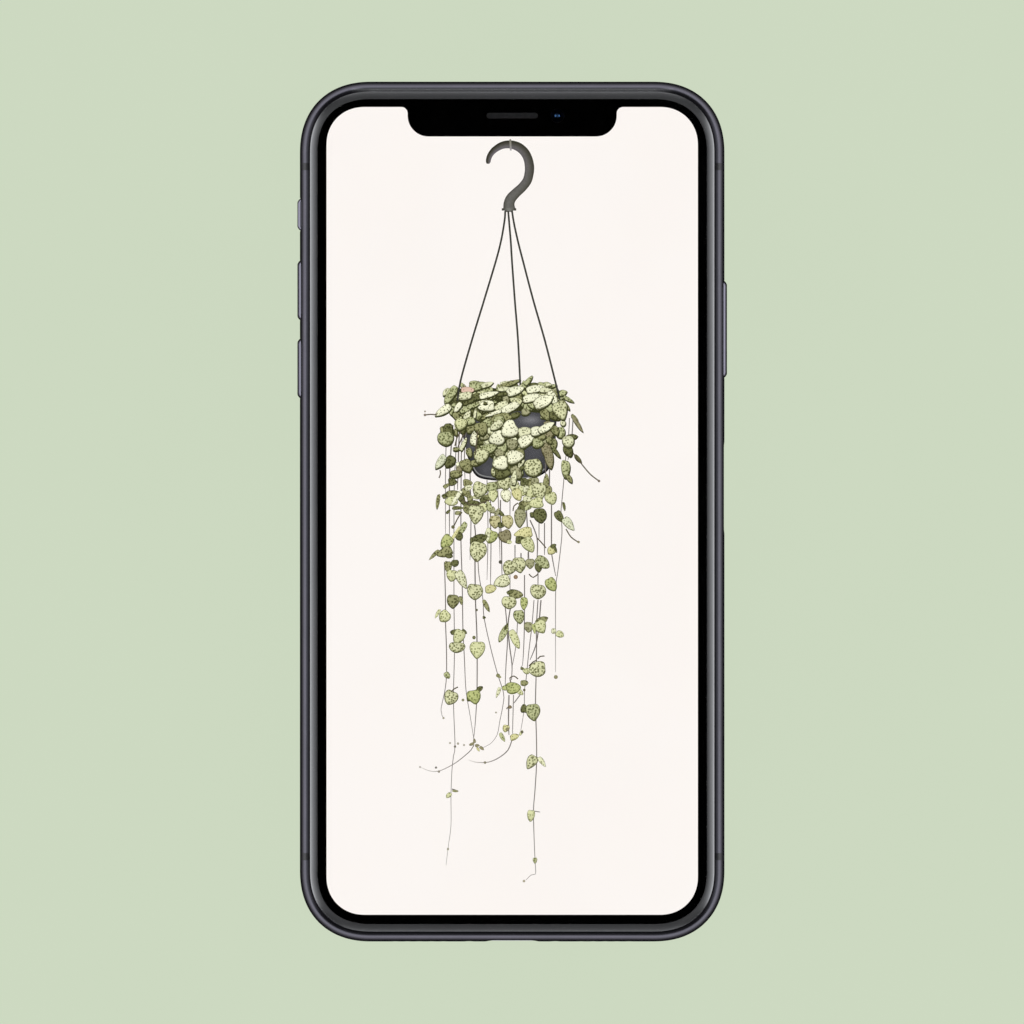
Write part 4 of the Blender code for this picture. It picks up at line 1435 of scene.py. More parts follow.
def buildRearBarrel(place, centre):
    size = rearEye
    depth, end = size["barrelLevels"]
    profile = [(size["barrelRadius"], end), (size["barrelRadius"], depth)]
    radius = size["barrelRadius"] - size["stepStart"]
    for _ in range(size["steps"]):
        profile.append((radius, depth))
        depth += size["stepHeight"]
        profile.append((radius, depth))
        radius -= size["stepWidth"]
    profile.append((radius, depth))
    dome = domeProfile(radius, size["domeSlope"], size["domeSteps"])
    foot = depth + size["domeSunk"]
    profile += [(across, foot - size["domeFlatness"] * rise) for across, rise in dome]
    barrel = turnedPart("rearBarrel" + place, centre, profile, "lens_barrel")
    barrel.data.materials.append(finishes["camera_eye"])
    x, y = centre
    for polygon in barrel.data.polygons:
        middle = polygon.center / mm
        if hypot(middle.x - x, middle.y - y) < radius - 0.02 and middle.z < foot + 0.05:
            polygon.material_index = 1  # the front element
    shades = [size["fadeScale"] * distance for distance in distancesFrom(centre, barrel.data)]
    keepOnPoints(barrel.data, "eyeRadius", shades)
    settle(barrel, "black_plastic")


def buildRearBlock(place, centre):
    size = rearEye["blockSize"]
    low, high = rearEye["blockLevels"]
    chamfer = rearEye["blockChamfer"]
    square = cornerOutline(size, size, rearEye["blockCorner"], 4)
    levels = []
    for inset, z in ((chamfer, low), (0.0, low + chamfer), (0.0, high - chamfer), (chamfer, high)):
        share = 1 - 2 * inset / size
        levels.append(([(centre[0] + p.x * share, centre[1] + p.y * share) for p, _ in square], z))
    block = pile("rearCamera" + place, levels, "black_plastic")
    settle(block, "black_plastic", "rear_camera_" + place.lower())


def buildFlash():
    low, high = rear["flashLevels"]
    radius = rear["flashRadius"]
    slant = rear["ridgeSlant"]
    profile = [(radius, high)]
    profile += [(radius - inset, low + up) for inset, up in rear["flashEdge"]]
    ridge = radius - rear["ridgeStart"]
    while ridge > rear["ridgeEnd"]:  # rings of the flash's stepped lens
        profile.append((ridge, low))
        profile.append((ridge - slant, low + rear["ridgeHeight"]))
        ridge -= rear["ridgePitch"]
        profile.append((ridge + slant, low + slant / 2))
    lens = turnedPart("flashLens", (rear["x"], rear["y"]), profile, "flash_diffuser")
    settle(lens, "flash_diffuser", "flash_lens")


def buildRear():
    through = rear["cutLevels"]
    gap = body["gap"]
    curve = quarterCurve(rear["depth"], rear["flat"], rear["edge"], 0.0, 14)
    profile = [(rear["depth"], rear["top"]), *curve, (rear["flat"] + rear["flatMargin"], 0.0)]
    glass = bodyPlate("backGlass", profile, "back_glass")
    carve(glass, [prism("cutter", rearPill(-gap), through)])
    settle(glass, "back_glass", "back_glass")
    levels = [(rearPill(inset), rear["windowSunk"] + up) for inset, up in rear["windowEdge"]]
    window = pile("rearWindow", [*levels, (rearPill(), rear["top"])], "window_glass")
    holes = [circle(rear["x"], y, rear["lensRadius"] + gap, 72) for y in lensPlaces.values()]
    holes.append(circle(rear["x"], rear["y"], rear["flashRadius"] + gap, 56))
    carve(window, [prism("cutter", hole, through) for hole in holes])
    settle(window, "dark_lens", "rear_window")
    for place, y in lensPlaces.items():
        for build in (buildRearLens, buildRearBarrel, buildRearBlock):
            build(place, (rear["x"], y))
    buildFlash()


buildRear()
print("Back built")


# CAD nodes that stay as they are get their finishes here: their slot's, or their own
ownFinishes = {"charging_coil": "coil_copper"}
for name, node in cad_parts.items():
    if node.hide_render or not node.material_slots:
        continue
    slotName = node.material_slots[0].material.name.split(".")[0]
    for holder in node.material_slots:
        holder.material = finishes[ownFinishes.get(name, slotName)]
print("Inner parts finished")


# The picture: a plant that hangs in a pot. Places in it are held in the photograph's pixels
picture = {
    "pixelsPerMm": 5.989,
    "middleX": 512.2, "middleY": 511.6,
    "potLevel": 6.608,
    "strandLevel": 6.620, "strandStep": 0.0007,
    "lowest": 6.670,
    "step": 0.005,
    "curveSpacing": 2.5,
    "longSpacing": 4.0,
    "endBlend": 1.6,  # above 1, the shades at a ribbon's end come in late
    "seed": 7,
}
chance = random.Random(picture["seed"])
painted = {"points": [], "faces": [], "paintColour": []}
drawn = []  # (x, y, reach, layer) of what is painted so far


def onScreen(x, y, z):
    scale = picture["pixelsPerMm"]
    return ((x - picture["middleX"]) / scale, (picture["middleY"] - y) / scale, z)


def nextLevel(x, y, reach):
    # the height just over everything already painted within reach
    layer = 0
    for otherX, otherY, otherReach, otherLayer in drawn:
        if hypot(otherX - x, otherY - y) < reach + otherReach:
            layer = max(layer, otherLayer + 1)
    drawn.append((x, y, reach, layer))
    return picture["lowest"] + picture["step"] * layer


def addFace(sheet, corners):
    # wound so that it faces up
    a, b, c = (Vector(sheet["points"][index]) for index in corners[:3])
    if (b - a).cross(c - b).z < 0:
        corners = corners[::-1]
    sheet["faces"].append(corners)


def addGrid(rows, shades, z):
    # a patch of the picture through rows of points, each with its colour
    start = len(painted["points"])
    width = len(rows[0])
    for row, colours in zip(rows, shades):
        for (x, y), colour in zip(row, colours):
            painted["points"].append(onScreen(x, y, z))
            painted["paintColour"].append(tint(*colour))
    for down in range(len(rows) - 1):
        for across in range(width - 1):
            corner = start + down * width + across
            addFace(painted, (corner, corner + 1, corner + width + 1, corner + width))


def smoothLine(points, spacing=picture["curveSpacing"]):
    # a curve through the points, which carries their further values along
    line = []
    padded = [points[0], *points, points[-1]]
    for i in range(len(points) - 1):
        before, start, end, after = padded[i : i + 4]
        steps = max(round(dist(start[:2], end[:2]) / spacing), 1)
        for step in range(steps):
            t = step / steps
            place = []
            for a, b, c, d in zip(before, start, end, after):
                curve = (2 * a - 5 * b + 4 * c - d) * t * t + (3 * b - a - 3 * c + d) * t**3
                place.append((2 * b + (c - a) * t + curve) / 2)
            line.append(tuple(place))
    line.append(tuple(points[-1]))
    return line


def addRibbon(line, halfWidth, shades, z, endShades=None):
    # a ribbon along a line, with shades from its left edge to its right one that may change along
    # it; without a half width, the line's points carry one each
    rows = []
    colours = []
    for i, place in enumerate(line):
        ahead = line[min(i + 1, len(line) - 1)]
        behind = line[max(i - 1, 0)]
        away = Vector((ahead[0] - behind[0], ahead[1] - behind[1])).normalized()
        half = place[2] if halfWidth is None else halfWidth
        row = []
        for step in range(len(shades)):
            side = half * (2 * step / (len(shades) - 1) - 1)
            row.append((place[0] - away.y * side, place[1] + away.x * side))
        rows.append(row)
        share = (i / (len(line) - 1)) ** picture["endBlend"]
        pairs = zip(shades, endShades or shades)
        colours.append([[a + (b - a) * share for a, b in zip(first, last)] for first, last in pairs])
    addGrid(rows, colours, z)


# The hook the wires hang from, with its half width at each (x, y)
hook = {
    "line": (
        (488.1, 163.9, 0.9), (488.1, 163.2, 1.8), (488.2, 162, 2.3), (488.4, 160, 2.5),
        (490.2, 155, 2.7), (494.6, 149.8, 3.1), (502, 145.5, 3.6), (510, 144.5, 4.0),
        (518, 146.8, 4.4), (524.3, 152, 4.5), (528, 159, 4.5), (529.5, 167, 4.7),
        (529, 174, 4.6), (527, 181, 4.6), (522, 187.5, 4.6), (516, 193, 4.8),
        (511, 198.5, 5.2), (509, 204, 5.5), (509.3, 209, 6.0),
    ),
    "spacing": 1.5,
    # from its outer side to its inner one, at its tip and at its collar
    "tipShades": (
        (44, 42, 30), (54, 52, 42), (74, 71, 64), (92, 89, 86), (106, 101, 105), (98, 94, 98),
    ),
    "endShades": (
        (74, 73, 66), (104, 103, 97), (108, 107, 103), (108, 107, 102), (98, 97, 91), (70, 69, 62),
    ),
    "collar": ((501.8, 516.2), (209.7, 209.2)),  # its ends' x and y
    # each of its turns: how much further in, how far down, half its height
    "collarTurns": ((0.0, 0.0, 1.2), (3.2, 1.6, 1.0)),
    "collarShades": ((48, 46, 36), (128, 128, 122), (52, 50, 40)),
    "peg": ((510.3, 139.3), (510.5, 145), (510.8, 150.6)), "pegHalfWidth": 0.9,
    "pegShades": ((132, 129, 114), (166, 161, 166)),
}


def drawHook():
    lowest = picture["lowest"]
    hookLine = smoothLine(hook["line"], hook["spacing"])
    addRibbon(hookLine, None, hook["tipShades"], lowest, hook["endShades"])
    top, end = hook["pegShades"]
    pegLevel = lowest + picture["step"]
    addRibbon(hook["peg"], hook["pegHalfWidth"], [top] * 2, pegLevel, [end] * 2)
    (left, right), heights = hook["collar"]
    for inset, down, half in hook["collarTurns"]:
        y = sum(heights) / 2 + down
        across = (left + inset, (left + right) / 2, right - inset)
        rows = [[(x, y - half) for x in across], [(x, y + half) for x in across]]
        addGrid(rows, [hook["collarShades"]] * 2, lowest + 2 * picture["step"])


drawHook()

# The strands that hang below the pot, each a line of (x, y)
strandLook = {
    "halfWidth": 0.5, "halfWidthShares": (0.85, 1.05, 1.25),
    "thinning": 0.6,
    "colour": (112, 106, 101),
    "faintColour": (212, 207, 200),
}
strands = (
    ((447, 428), (446, 450), (445.5, 480), (445.5, 535)),
    (
        (444.5, 562), (445.5, 600), (445.5, 620), (446.5, 650), (446.5, 675), (445, 690), (441, 710),
        (443.5, 718),
    ),
    ((453, 425), (451, 450), (449.5, 480), (449.5, 535)),
    (
        (457, 426), (456, 450), (454.5, 480), (454, 515), (454, 600), (454.5, 650), (453.5, 700),
        (455, 745), (453.5, 756), (452, 770), (451, 795), (451, 825), (448.5, 845), (446, 865),
    ),
    (
        (463, 430), (461.5, 450), (461, 500), (461, 542), (462, 575), (462.5, 600), (463, 630),
        (464.5, 660), (466, 690), (470, 715), (474, 740),
    ),
    (
        (474.5, 525), (475.5, 536), (475, 560), (475.5, 600), (477, 640), (477, 690), (475.5, 720),
        (473.5, 740),
    ),
    (
        (478, 560), (479, 575), (483, 600), (484, 617), (490, 645), (497, 672), (503.5, 693),
        (503, 705), (500, 720), (497, 735), (490, 744), (481.5, 748),
    ),
    ((490.5, 500), (490.5, 520), (491, 543), (490.5, 585)),
    ((500.5, 500), (500.5, 520), (501.5, 544), (502, 577)), ((510, 500), (510, 516)),
    ((505, 605), (506.5, 620), (507.5, 640), (506, 665), (505, 690)),
    ((511, 605), (508, 625), (509.5, 645), (512, 665), (511.5, 680)),
    ((517.5, 622), (516, 645), (512.5, 665)), ((515, 545), (515, 560)), ((521, 553), (521, 558)),
    ((528, 552), (528, 562)), ((524.5, 575), (524.5, 608), (524, 640), (522.5, 665), (520.5, 668)),
    ((530, 520), (537, 538), (537, 560)), ((539, 523), (539, 540)), ((544.5, 523), (544.5, 555)),
    ((551.5, 505), (551.5, 545), (552, 556), (555.7, 576)),
    ((534, 600), (532, 625), (529, 650), (526, 680), (524.5, 690), (524, 710), (520, 735)),
    (
        (538, 600), (536.5, 625), (536.5, 650), (536, 680), (535.5, 705), (536.5, 740), (536.5, 765),
        (535, 790), (533.5, 810), (534, 835), (535, 860), (535.5, 874), (531, 875), (526, 880),
    ),
    ((541, 600), (537, 640), (530, 660)),
    (
        (569.5, 418), (568.5, 436), (566, 455), (564, 478), (562, 500), (561, 512), (562, 530),
        (561, 545), (558, 570), (555.7, 590), (555.5, 640), (555.5, 672),
    ),
    ((573, 420), (571.5, 440), (568, 460)), ((509, 695), (508.5, 720), (509, 735)),
    ((513.5, 695), (513, 715), (512.5, 735)), ((520, 695), (514, 703)), ((452, 789), (458, 791)),
    ((534, 811), (540, 812)), ((466, 432), (464.5, 455), (465, 480)),
    ((459.5, 428), (458.5, 455), (457.5, 490)), ((497, 470), (499, 520), (500, 560)),
    ((470, 470), (471, 520), (470, 560)), ((525, 480), (527, 520), (529, 560)),
    ((487, 480), (488, 530), (487, 580)), ((546, 452), (545.5, 470), (547, 490)),
    ((550, 455), (549.5, 475), (549.5, 500)), ((510, 575), (510, 596)), ((538, 568), (538, 585)),
    ((474.5, 500), (474.5, 515)),
)
fadingStrands = (
    ((474, 745), (471, 750), (462, 758), (452, 765), (439, 771), (430, 771), (420, 767)),
    ((512, 740), (508, 750), (500, 757), (492, 761), (485, 762.5), (475, 762), (469, 760)),
)

def drawStrands():
    level = picture["strandLevel"]
    shares = strandLook["halfWidthShares"]
    thinning = strandLook["thinning"]
    for number, strand in enumerate(strands + fadingStrands):
        line = smoothLine(strand, picture["longSpacing"])
        half = strandLook["halfWidth"] * shares[number % len(shares)]
        tapered = [(x, y, half * (1 - thinning * (i / len(line)) ** 4)) for i, (x, y) in enumerate(line)]
        end = strandLook["faintColour" if strand in fadingStrands else "colour"]
        addRibbon(tapered, None, [strandLook["colour"]] * 2, level, [end] * 2)
        level += picture["strandStep"]


drawStrands()

# The pot behind the leaves
pot = {
    # (y, left, right) down its sides
    "sides": (
        (408, 448, 557.5), (415, 450, 557), (421, 456, 556.6), (427, 460, 556.2),
        (439, 463.5, 555.7), (449, 466, 554.2), (459, 469, 552), (467, 471.5, 550),
        (473, 474.5, 545), (476.8, 479.5, 534), (479, 488, 522),
    ),
    "spacing": 2.0,
    "columns": 40,
    "colour": (76, 76, 80),
    "sideShade": 0.35,
    # x, y, reach along both, brightness
    "gleams": (
        (531, 420, 10, 4.5, 52), (470, 446, 6, 10, 26), (452, 414, 4, 4, 14),
        (538, 452, 9, 9, 12), (485, 470, 7, 7, 14), (549, 460, 4, 9, 20),
    ),
    "foot": (
        (468, 456), (470, 462), (472, 468), (475, 473.5), (480, 477.3), (490, 479.3),
        (506, 480.4), (525, 480), (531, 479), (540, 475), (546, 471), (550, 465),
    ),
    "footColour": (16, 16, 14), "footHalfWidth": 0.75,
    "gleamColour": (138, 138, 136), "gleamHalfWidth": 0.55, "gleamMiddle": 503,
    "gleamShift": (0.035, 2.2),  # its share of the way to the middle, and how far up
    "rimRise": 0.004,
}


def potShade(x, y, share):
    dimmer = 1 - pot["sideShade"] * abs(2 * share - 1) ** 3
    brighter = 0
    for gleamX, gleamY, reachX, reachY, more in pot["gleams"]:
        away = ((x - gleamX) / reachX) ** 2 + ((y - gleamY) / reachY) ** 2
        brighter += more * exp(-away)
    return tuple(part * dimmer + brighter for part in pot["colour"])


def drawPot():
    shares = [step / pot["columns"] for step in range(pot["columns"] + 1)]
    rows = []
    shades = []
    for y, left, right in smoothLine(pot["sides"], pot["spacing"]):
        row = [(left + (right - left) * share, y) for share in shares]
        rows.append(row)
        shades.append([potShade(*place, share) for place, share in zip(row, shares)])
    addGrid(rows, shades, picture["potLevel"])
    level = picture["potLevel"] + pot["rimRise"]
    foot = smoothLine(pot["foot"])
    addRibbon(foot, pot["footHalfWidth"], [pot["footColour"]] * 2, level)
    inwards, up = pot["gleamShift"]
    gleam = [(x + (pot["gleamMiddle"] - x) * inwards, y - up) for x, y in foot[4:-3]]
    addRibbon(gleam, pot["gleamHalfWidth"], [pot["gleamColour"]] * 2, level)


drawPot()
print("Hook, strands and pot drawn")

# Leaf tones: the face, its marks, and how much of it they cover
tones = {
    "cream": ((246, 246, 214), (106, 106, 64), 0.42),
    "pale": ((230, 231, 192), (104, 104, 62), 0.48),
    "mint": ((222, 225, 194), (116, 120, 86), 0.44),
    "lime": ((218, 220, 170), (116, 120, 68), 0.46),
    "lemon": ((220, 216, 160), (124, 120, 66), 0.44),
    "spotted": ((220, 221, 176), (92, 94, 50), 0.60),
    "green": ((192, 196, 148), (88, 92, 48), 0.58),
    "olive": ((158, 158, 112), (72, 72, 38), 0.58),
    "dull": ((170, 169, 132), (94, 94, 60), 0.54),
    "dark": ((112, 114, 74), (52, 53, 28), 0.56),
    "brown": ((152, 146, 112), (88, 82, 54), 0.50),
    "sand": ((206, 200, 152), (122, 114, 72), 0.46),
    "fresh": ((190, 196, 132), (100, 108, 54), 0.50),
    "pink": ((228, 196, 176), (160, 118, 94), 0.30),
}
leafForm = {
    "around": 26,
    "rings": (0.30, 0.56, 0.76, 0.90, 1.0),
    "tip": 0.13, "tipChange": 0.7, "tipSpread": 0.38,
    "notch": 0.22, "notchSpread": 0.5,
    "swell": 0.10,
    "waviness": 0.03,
    "brightness": (0.96, 1.04),
    "tilt": (-0.07, 0.07),  # how brightness changes from stalk to tip
    "lowerShade": 0.08,  # and from side to side
    "markOffset": 90,  # the leaves' marks lie within this much of the noise
    "fullWidth": 6.0,  # narrower leaves get a thinner rim
    "lowerRim": 0.55,  # how much thicker the rim is on a leaf's lower side
    "overlapShare": 0.92,  # of a leaf's reach, within which it lies over others
    "shadowShift": (0.4, 1.0), "shadowGrow": 0.35, "shadowColour": (58, 60, 34),
    "crownLength": 1.08, "crownWidth": 0.90,
}
leafKinds = {
    "leafFace": "FLOAT_COLOR",
    "leafMarks": "FLOAT_COLOR",
    "leafPlace": "FLOAT_VECTOR",
    "leafCover": "FLOAT",
    "leafMargin": "FLOAT",
    "leafShade": "FLOAT",
}
leaves = {name: [] for name in ("points", "faces", *leafKinds)}


def turnBy(along, across, angle):
    cosine = cos(angle)
    sine = sin(angle)
    return along * cosine - across * sine, along * sine + across * cosine


def leafOutline():
    # (along, across) round a heart from its tip, each leaf a little different
    form = leafForm
    phases = [chance.uniform(0, 2 * pi) for _ in range(2)]
    tip = form["tip"] * (1 + form["tipChange"] * sin(phases[0]))
    outline = []
    for i in range(form["around"]):
        angle = 2 * pi * i / form["around"]
        fromTip = min(angle, 2 * pi - angle)
        point = tip * exp(-((fromTip / form["tipSpread"]) ** 2))
        notch = form["notch"] * exp(-(((pi - fromTip) / form["notchSpread"]) ** 2))
        wave = 1 + form["waviness"] * (sin(2 * angle + phases[0]) + sin(3 * angle + phases[1]))
        along = cos(angle) * wave + point + notch
        outline.append((along, sin(angle) * (1 - form["swell"] * cos(angle)) * wave))
    return outline


def addFan(sheet, start, count):
    # faces from a middle point to the count points that follow it
    for i in range(count):
        addFace(sheet, (start, start + 1 + i, start + 1 + (i + 1) % count))


def addShadow(x, y, outline, angle, halfLength, halfWidth, z):
    # a dark shape just under a leaf, a little lower in the picture
    start = len(painted["points"])
    shiftX, shiftY = leafForm["shadowShift"]
    grow = leafForm["shadowGrow"]
    for along, across in [(0.0, 0.0), *outline]:
        right, up = turnBy(along * (halfLength + grow), across * (halfWidth + grow), angle)
        painted["points"].append(onScreen(x + right + shiftX, y - up + shiftY, z))
        painted["paintColour"].append(tint(*leafForm["shadowColour"]))
    addFan(painted, start, len(outline))


def addLeaf(x, y, halfLength, halfWidth, turn, tone, shadowed=False):
    form = leafForm
    face, marks, cover = tones[tone]
    z = nextLevel(x, y, form["overlapShare"] * max(halfLength, halfWidth))
    brightness = chance.uniform(*form["brightness"])
    tilt = chance.uniform(*form["tilt"])
    offset = Vector([chance.uniform(0, form["markOffset"]) for _ in range(2)] + [0])
    angle = radians(turn)
    thin = max(1.0, form["fullWidth"] / min(halfWidth, halfLength))
    scale = picture["pixelsPerMm"]
    outline = leafOutline()
    start = len(leaves["points"])
    if shadowed:
        addShadow(x, y, outline, angle, halfLength, halfWidth, z - picture["step"] / 2)

    def addPoint(along, across, share):
        u = along * share * halfLength
        v = across * share * halfWidth
        right, up = turnBy(u, v, angle)
        leaves["points"].append(onScreen(x + right, y - up, z))
        leaves["leafFace"].append(tint(*face))
        leaves["leafMarks"].append(tint(*marks))
        leaves["leafPlace"].append(offset + Vector((u, v, 0)) / scale)
        leaves["leafCover"].append(cover)
        reach = hypot(along * halfLength, across * halfWidth)
        lower = 1 + form["lowerRim"] * up / max(reach * share, 0.01)
        leaves["leafMargin"].append((1 - share) * reach / scale * thin * lower)
        sideways = tilt * along - form["lowerShade"] * across
        leaves["leafShade"].append(brightness + sideways * share)

    addPoint(0.0, 0.0, 0.0)
    for share in form["rings"]:
        for along, across in outline:
            addPoint(along, across, share)
    # the centre lies as far from the edge as the leaf is wide
    leaves["leafMargin"][start] = halfWidth / scale * thin
    count = form["around"]
    addFan(leaves, start, count)
    for quad in joinLevels(count, len(form["rings"])):
        addFace(leaves, [start + 1 + index for index in quad])


def isInside(x, y, outline):
    # whether a ray to the right crosses the outline an odd number of times
    crossings = 0
    for i, (x1, y1) in enumerate(outline):
        x2, y2 = outline[i - 1]
        if (y1 > y) != (y2 > y) and x < (x2 - x1) * (y - y1) / (y2 - y1) + x1:
            crossings += 1
    return crossings % 2 == 1


# The shaded tangle behind the leaves: where it lies, and the small leaves that fill it
tangles = (
    {
        "outline": (
            (446, 392), (455, 386), (470, 384), (485, 384), (500, 386), (520, 383), (530, 382),
            (545, 385), (556, 388), (562, 396), (568, 404), (566, 412), (556, 417), (540, 416),
            (520, 414), (500, 416), (485, 419), (470, 419), (455, 414), (448, 408), (445, 400),
        ),
        "count": 110,
        "shaded": True,
    },
    {
        "outline": (
            (476, 432), (520, 428), (545, 430), (548, 440), (530, 446), (524, 452), (520, 478),
            (498, 478), (492, 462), (478, 450),
        ),
        "count": 50,
        "shaded": True,
    },
    {
        "outline": (
            (449, 488), (470, 484), (500, 488), (530, 486), (548, 492), (540, 510), (515, 520),
            (490, 510), (462, 508), (450, 500),
        ),
        "count": 24,
        "shaded": False,
    },
)
tangleLook = {
    "tones": ("dark", "olive", "dull", "green", "green", "spotted", "olive", "pale", "lime"),
    "halfLength": (3.5, 7.0),
    "widthShare": (0.35, 0.75),
    "colour": (58, 60, 34),
    "shadeSize": (0.94, 0.8),  # the dark patch, as shares of the outline's width and height
    "shadeRings": (0, 0.5, 0.98),  # how far each of its rings lies towards its middle
    "shadeRise": 0.004,
}


def drawTangleShade(outline):
    middle = [sum(part) / len(outline) for part in zip(*outline)]
    across, up = tangleLook["shadeSize"]
    rim = [(middle[0] + (x - middle[0]) * across, middle[1] + (y - middle[1]) * up) for x, y in outline]
    rim.append(rim[0])
    rings = []
    for share in tangleLook["shadeRings"]:
        rings.append([(x + (middle[0] - x) * share, y + (middle[1] - y) * share) for x, y in rim])
    shades = [[tangleLook["colour"]] * len(rim)] * len(rings)
    addGrid(rings, shades, picture["lowest"] + tangleLook["shadeRise"])


def fillTangle(tangle):
    outline = tangle["outline"]
    if tangle["shaded"]:
        drawTangleShade(outline)
    spanX, spanY = ((min(part), max(part)) for part in zip(*outline))
    made = 0
    while made < tangle["count"]:
        x = chance.uniform(*spanX)
        y = chance.uniform(*spanY)
        if isInside(x, y, outline):
            size = chance.uniform(*tangleLook["halfLength"])
            lean = chance.uniform(0, 360)
            wide = size * chance.uniform(*tangleLook["widthShare"])
            addLeaf(x, y, size, wide, lean, chance.choice(tangleLook["tones"]), tangle["shaded"])
            made += 1


for tangle in tangles:
    fillTangle(tangle)

# Leaves from back to front: x, y, half length, half width, turn of the tip, tone
crownLeaves = (
    (476, 397, 6, 4, 200, "dark"), (502, 393, 7, 3, 10, "dark"), (468, 402, 6, 2.5, 20, "dark"),
    (554, 416, 6, 4, -30, "dark"), (515, 415, 5, 3, 20, "dark"), (446, 392, 4, 3, 230, "pale"),
    (451, 394, 11, 4.5, 237, "green"), (444, 410, 9, 4.5, 215, "cream"), (458, 407, 6, 3, 235, "cream"),
    (477, 386, 9, 5, 10, "green"), (467, 390, 7, 3.5, 0, "pink"), (465, 396, 8, 4.5, 190, "pale"),
    (486, 385, 6, 3, 20, "pale"), (487, 395, 9, 3.5, 15, "cream"), (505, 383, 6, 2, 10, "pale"),
    (508, 384, 12, 2.5, 18, "olive"), (505, 389, 9, 2.5, 0, "pale"), (514, 391, 9, 5, 20, "cream"),
    (472, 406, 6, 2.5, 15, "green"), (465, 410, 6, 2.5, 25, "green"), (487, 406, 9, 6, 185, "cream"),
    (485, 403, 2, 1.5, 0, "dark"), (502, 406, 8, 5, 200, "pale"), (508, 409, 14, 4.5, 210, "cream"),
    (495, 413, 8, 2, 200, "cream"), (467, 416, 5, 3.5, 60, "pale"), (475, 414, 5, 1.5, 80, "pale"),
    (456, 426, 6, 1.6, -80, "pale"), (465, 427, 5, 1.6, -95, "pale"), (505, 417, 6, 5, 0, "olive"),
    (498, 419, 7, 6, 200, "olive"), (489, 424, 6, 5, -70, "green"), (528, 381, 6, 2.5, 50, "green"),
    (542, 385, 5, 3, -10, "green"), (552, 386, 4, 2, 10, "green"), (548, 385, 3, 2, 0, "pale"),
    (534, 389, 9, 4.5, 10, "cream"), (545, 390, 6, 3, 0, "pale"), (562, 393, 4, 3.5, 20, "green"),
    (568, 399, 6, 2, -30, "green"), (566, 405, 6, 1.8, -55, "olive"), (552, 397, 8, 5, -60, "cream"),
    (531, 398, 10, 4.5, 12, "cream"), (542, 402, 10, 7, 30, "cream"), (525, 412, 4, 4, 0, "dull"),
    (545, 414, 5.5, 5, -60, "olive"), (560, 409, 9, 8.5, -70, "spotted"),
    (574, 417, 4, 2, -40, "olive"), (577, 423, 8.5, 2.2, -56, "brown"), (547, 423, 4, 2, 10, "brown"),
    (563, 423, 3, 3, -90, "pale"), (560, 432, 6, 5.5, -80, "green"),
)
potLeaves = (
    (462, 429, 5, 3.5, -80, "dark"), (455, 432, 4, 2.5, -70, "olive"), (446, 431, 8, 5, 0, "olive"),
    (499, 421, 6.5, 5.5, -80, "green"), (487, 424, 6, 5, 210, "green"), (502, 447, 6, 5, -80, "green"),
    (509, 465, 5, 4, -90, "dark"), (458, 466, 5, 1.8, -85, "cream"), (469, 452, 5, 3, -70, "olive"),
    (549, 434, 5, 5, -80, "brown"), (553, 443, 6, 4, -80, "olive"), (546, 449, 8, 5, -85, "brown"),
    (520, 452, 6, 4, -60, "olive"), (506, 437, 4, 3, 0, "dark"), (541, 437, 5, 3, 10, "olive"),
    (471, 428, 6, 4.5, 240, "olive"), (456, 416, 5, 3, -60, "olive"), (470, 421, 6, 4, 200, "green"),
    (448, 430, 8, 5, -90, "dark"), (450, 461, 7, 5, 240, "dark"), (456, 449, 4, 2, 0, "olive"),
    (445.6, 438, 8, 8, -90, "green"), (474, 439, 8, 4, 80, "cream"), (484, 436, 5, 4, 0, "dull"),
    (478, 434, 5, 1.5, 80, "lemon"), (481, 428, 7, 7, -80, "olive"), (491, 431, 4.5, 4, 0, "pale"),
    (503, 434, 4, 2.5, 0, "dark"), (497.5, 438, 8.5, 7.5, 200, "cream"), (497, 425, 8, 4, 215, "pale"),
    (510, 429, 9.5, 8.5, 215, "cream"), (512, 444, 6, 6, -90, "dull"), (463, 445, 8, 2, 65, "pale"),
    (441, 461, 8.5, 4, 235, "mint"), (466, 465, 7.5, 6, -60, "olive"), (459, 469, 4, 2.5, -60, "brown"),
    (475, 463, 5, 3, 0, "olive"), (488, 449, 8, 5, 20, "green"), (499, 453, 5, 4, 0, "dull"),
    (481, 455, 8, 7.5, 250, "spotted"), (501, 473, 8, 6, 0, "dark"), (516, 472, 8, 5, -60, "dull"),
    (501, 463, 8.5, 7, 190, "cream"), (514, 457, 9, 7, 10, "cream"), (514, 479, 8, 2.5, 85, "pale"),
    (455, 474, 6, 4, 0, "olive"), (524, 432, 8, 5, 15, "pale"), (525, 441, 9, 6, 30, "cream"),
    (537, 443, 6, 5, 0, "green"), (537, 431, 8, 5, 10, "cream"), (545, 428, 9, 4, 30, "cream"),
    (549, 440, 4, 3, -60, "olive"), (555, 430, 5, 4, -60, "olive"), (571, 437, 6, 3, 10, "dark"),
    (568, 450, 7, 4.5, -70, "dark"), (568, 441, 6.5, 6, -80, "pale"), (556, 452, 7, 2, -55, "dark"),
    (549, 457, 11, 4.5, -80, "brown"), (533, 467, 10, 9, -85, "spotted"),
    (577.5, 458, 5, 2, -50, "dark"), (565.5, 468, 9.5, 4.5, -90, "green"),
    (569, 478, 5, 2.5, -60, "olive"), (461, 423.5, 6.5, 6, 250, "lime"),
)
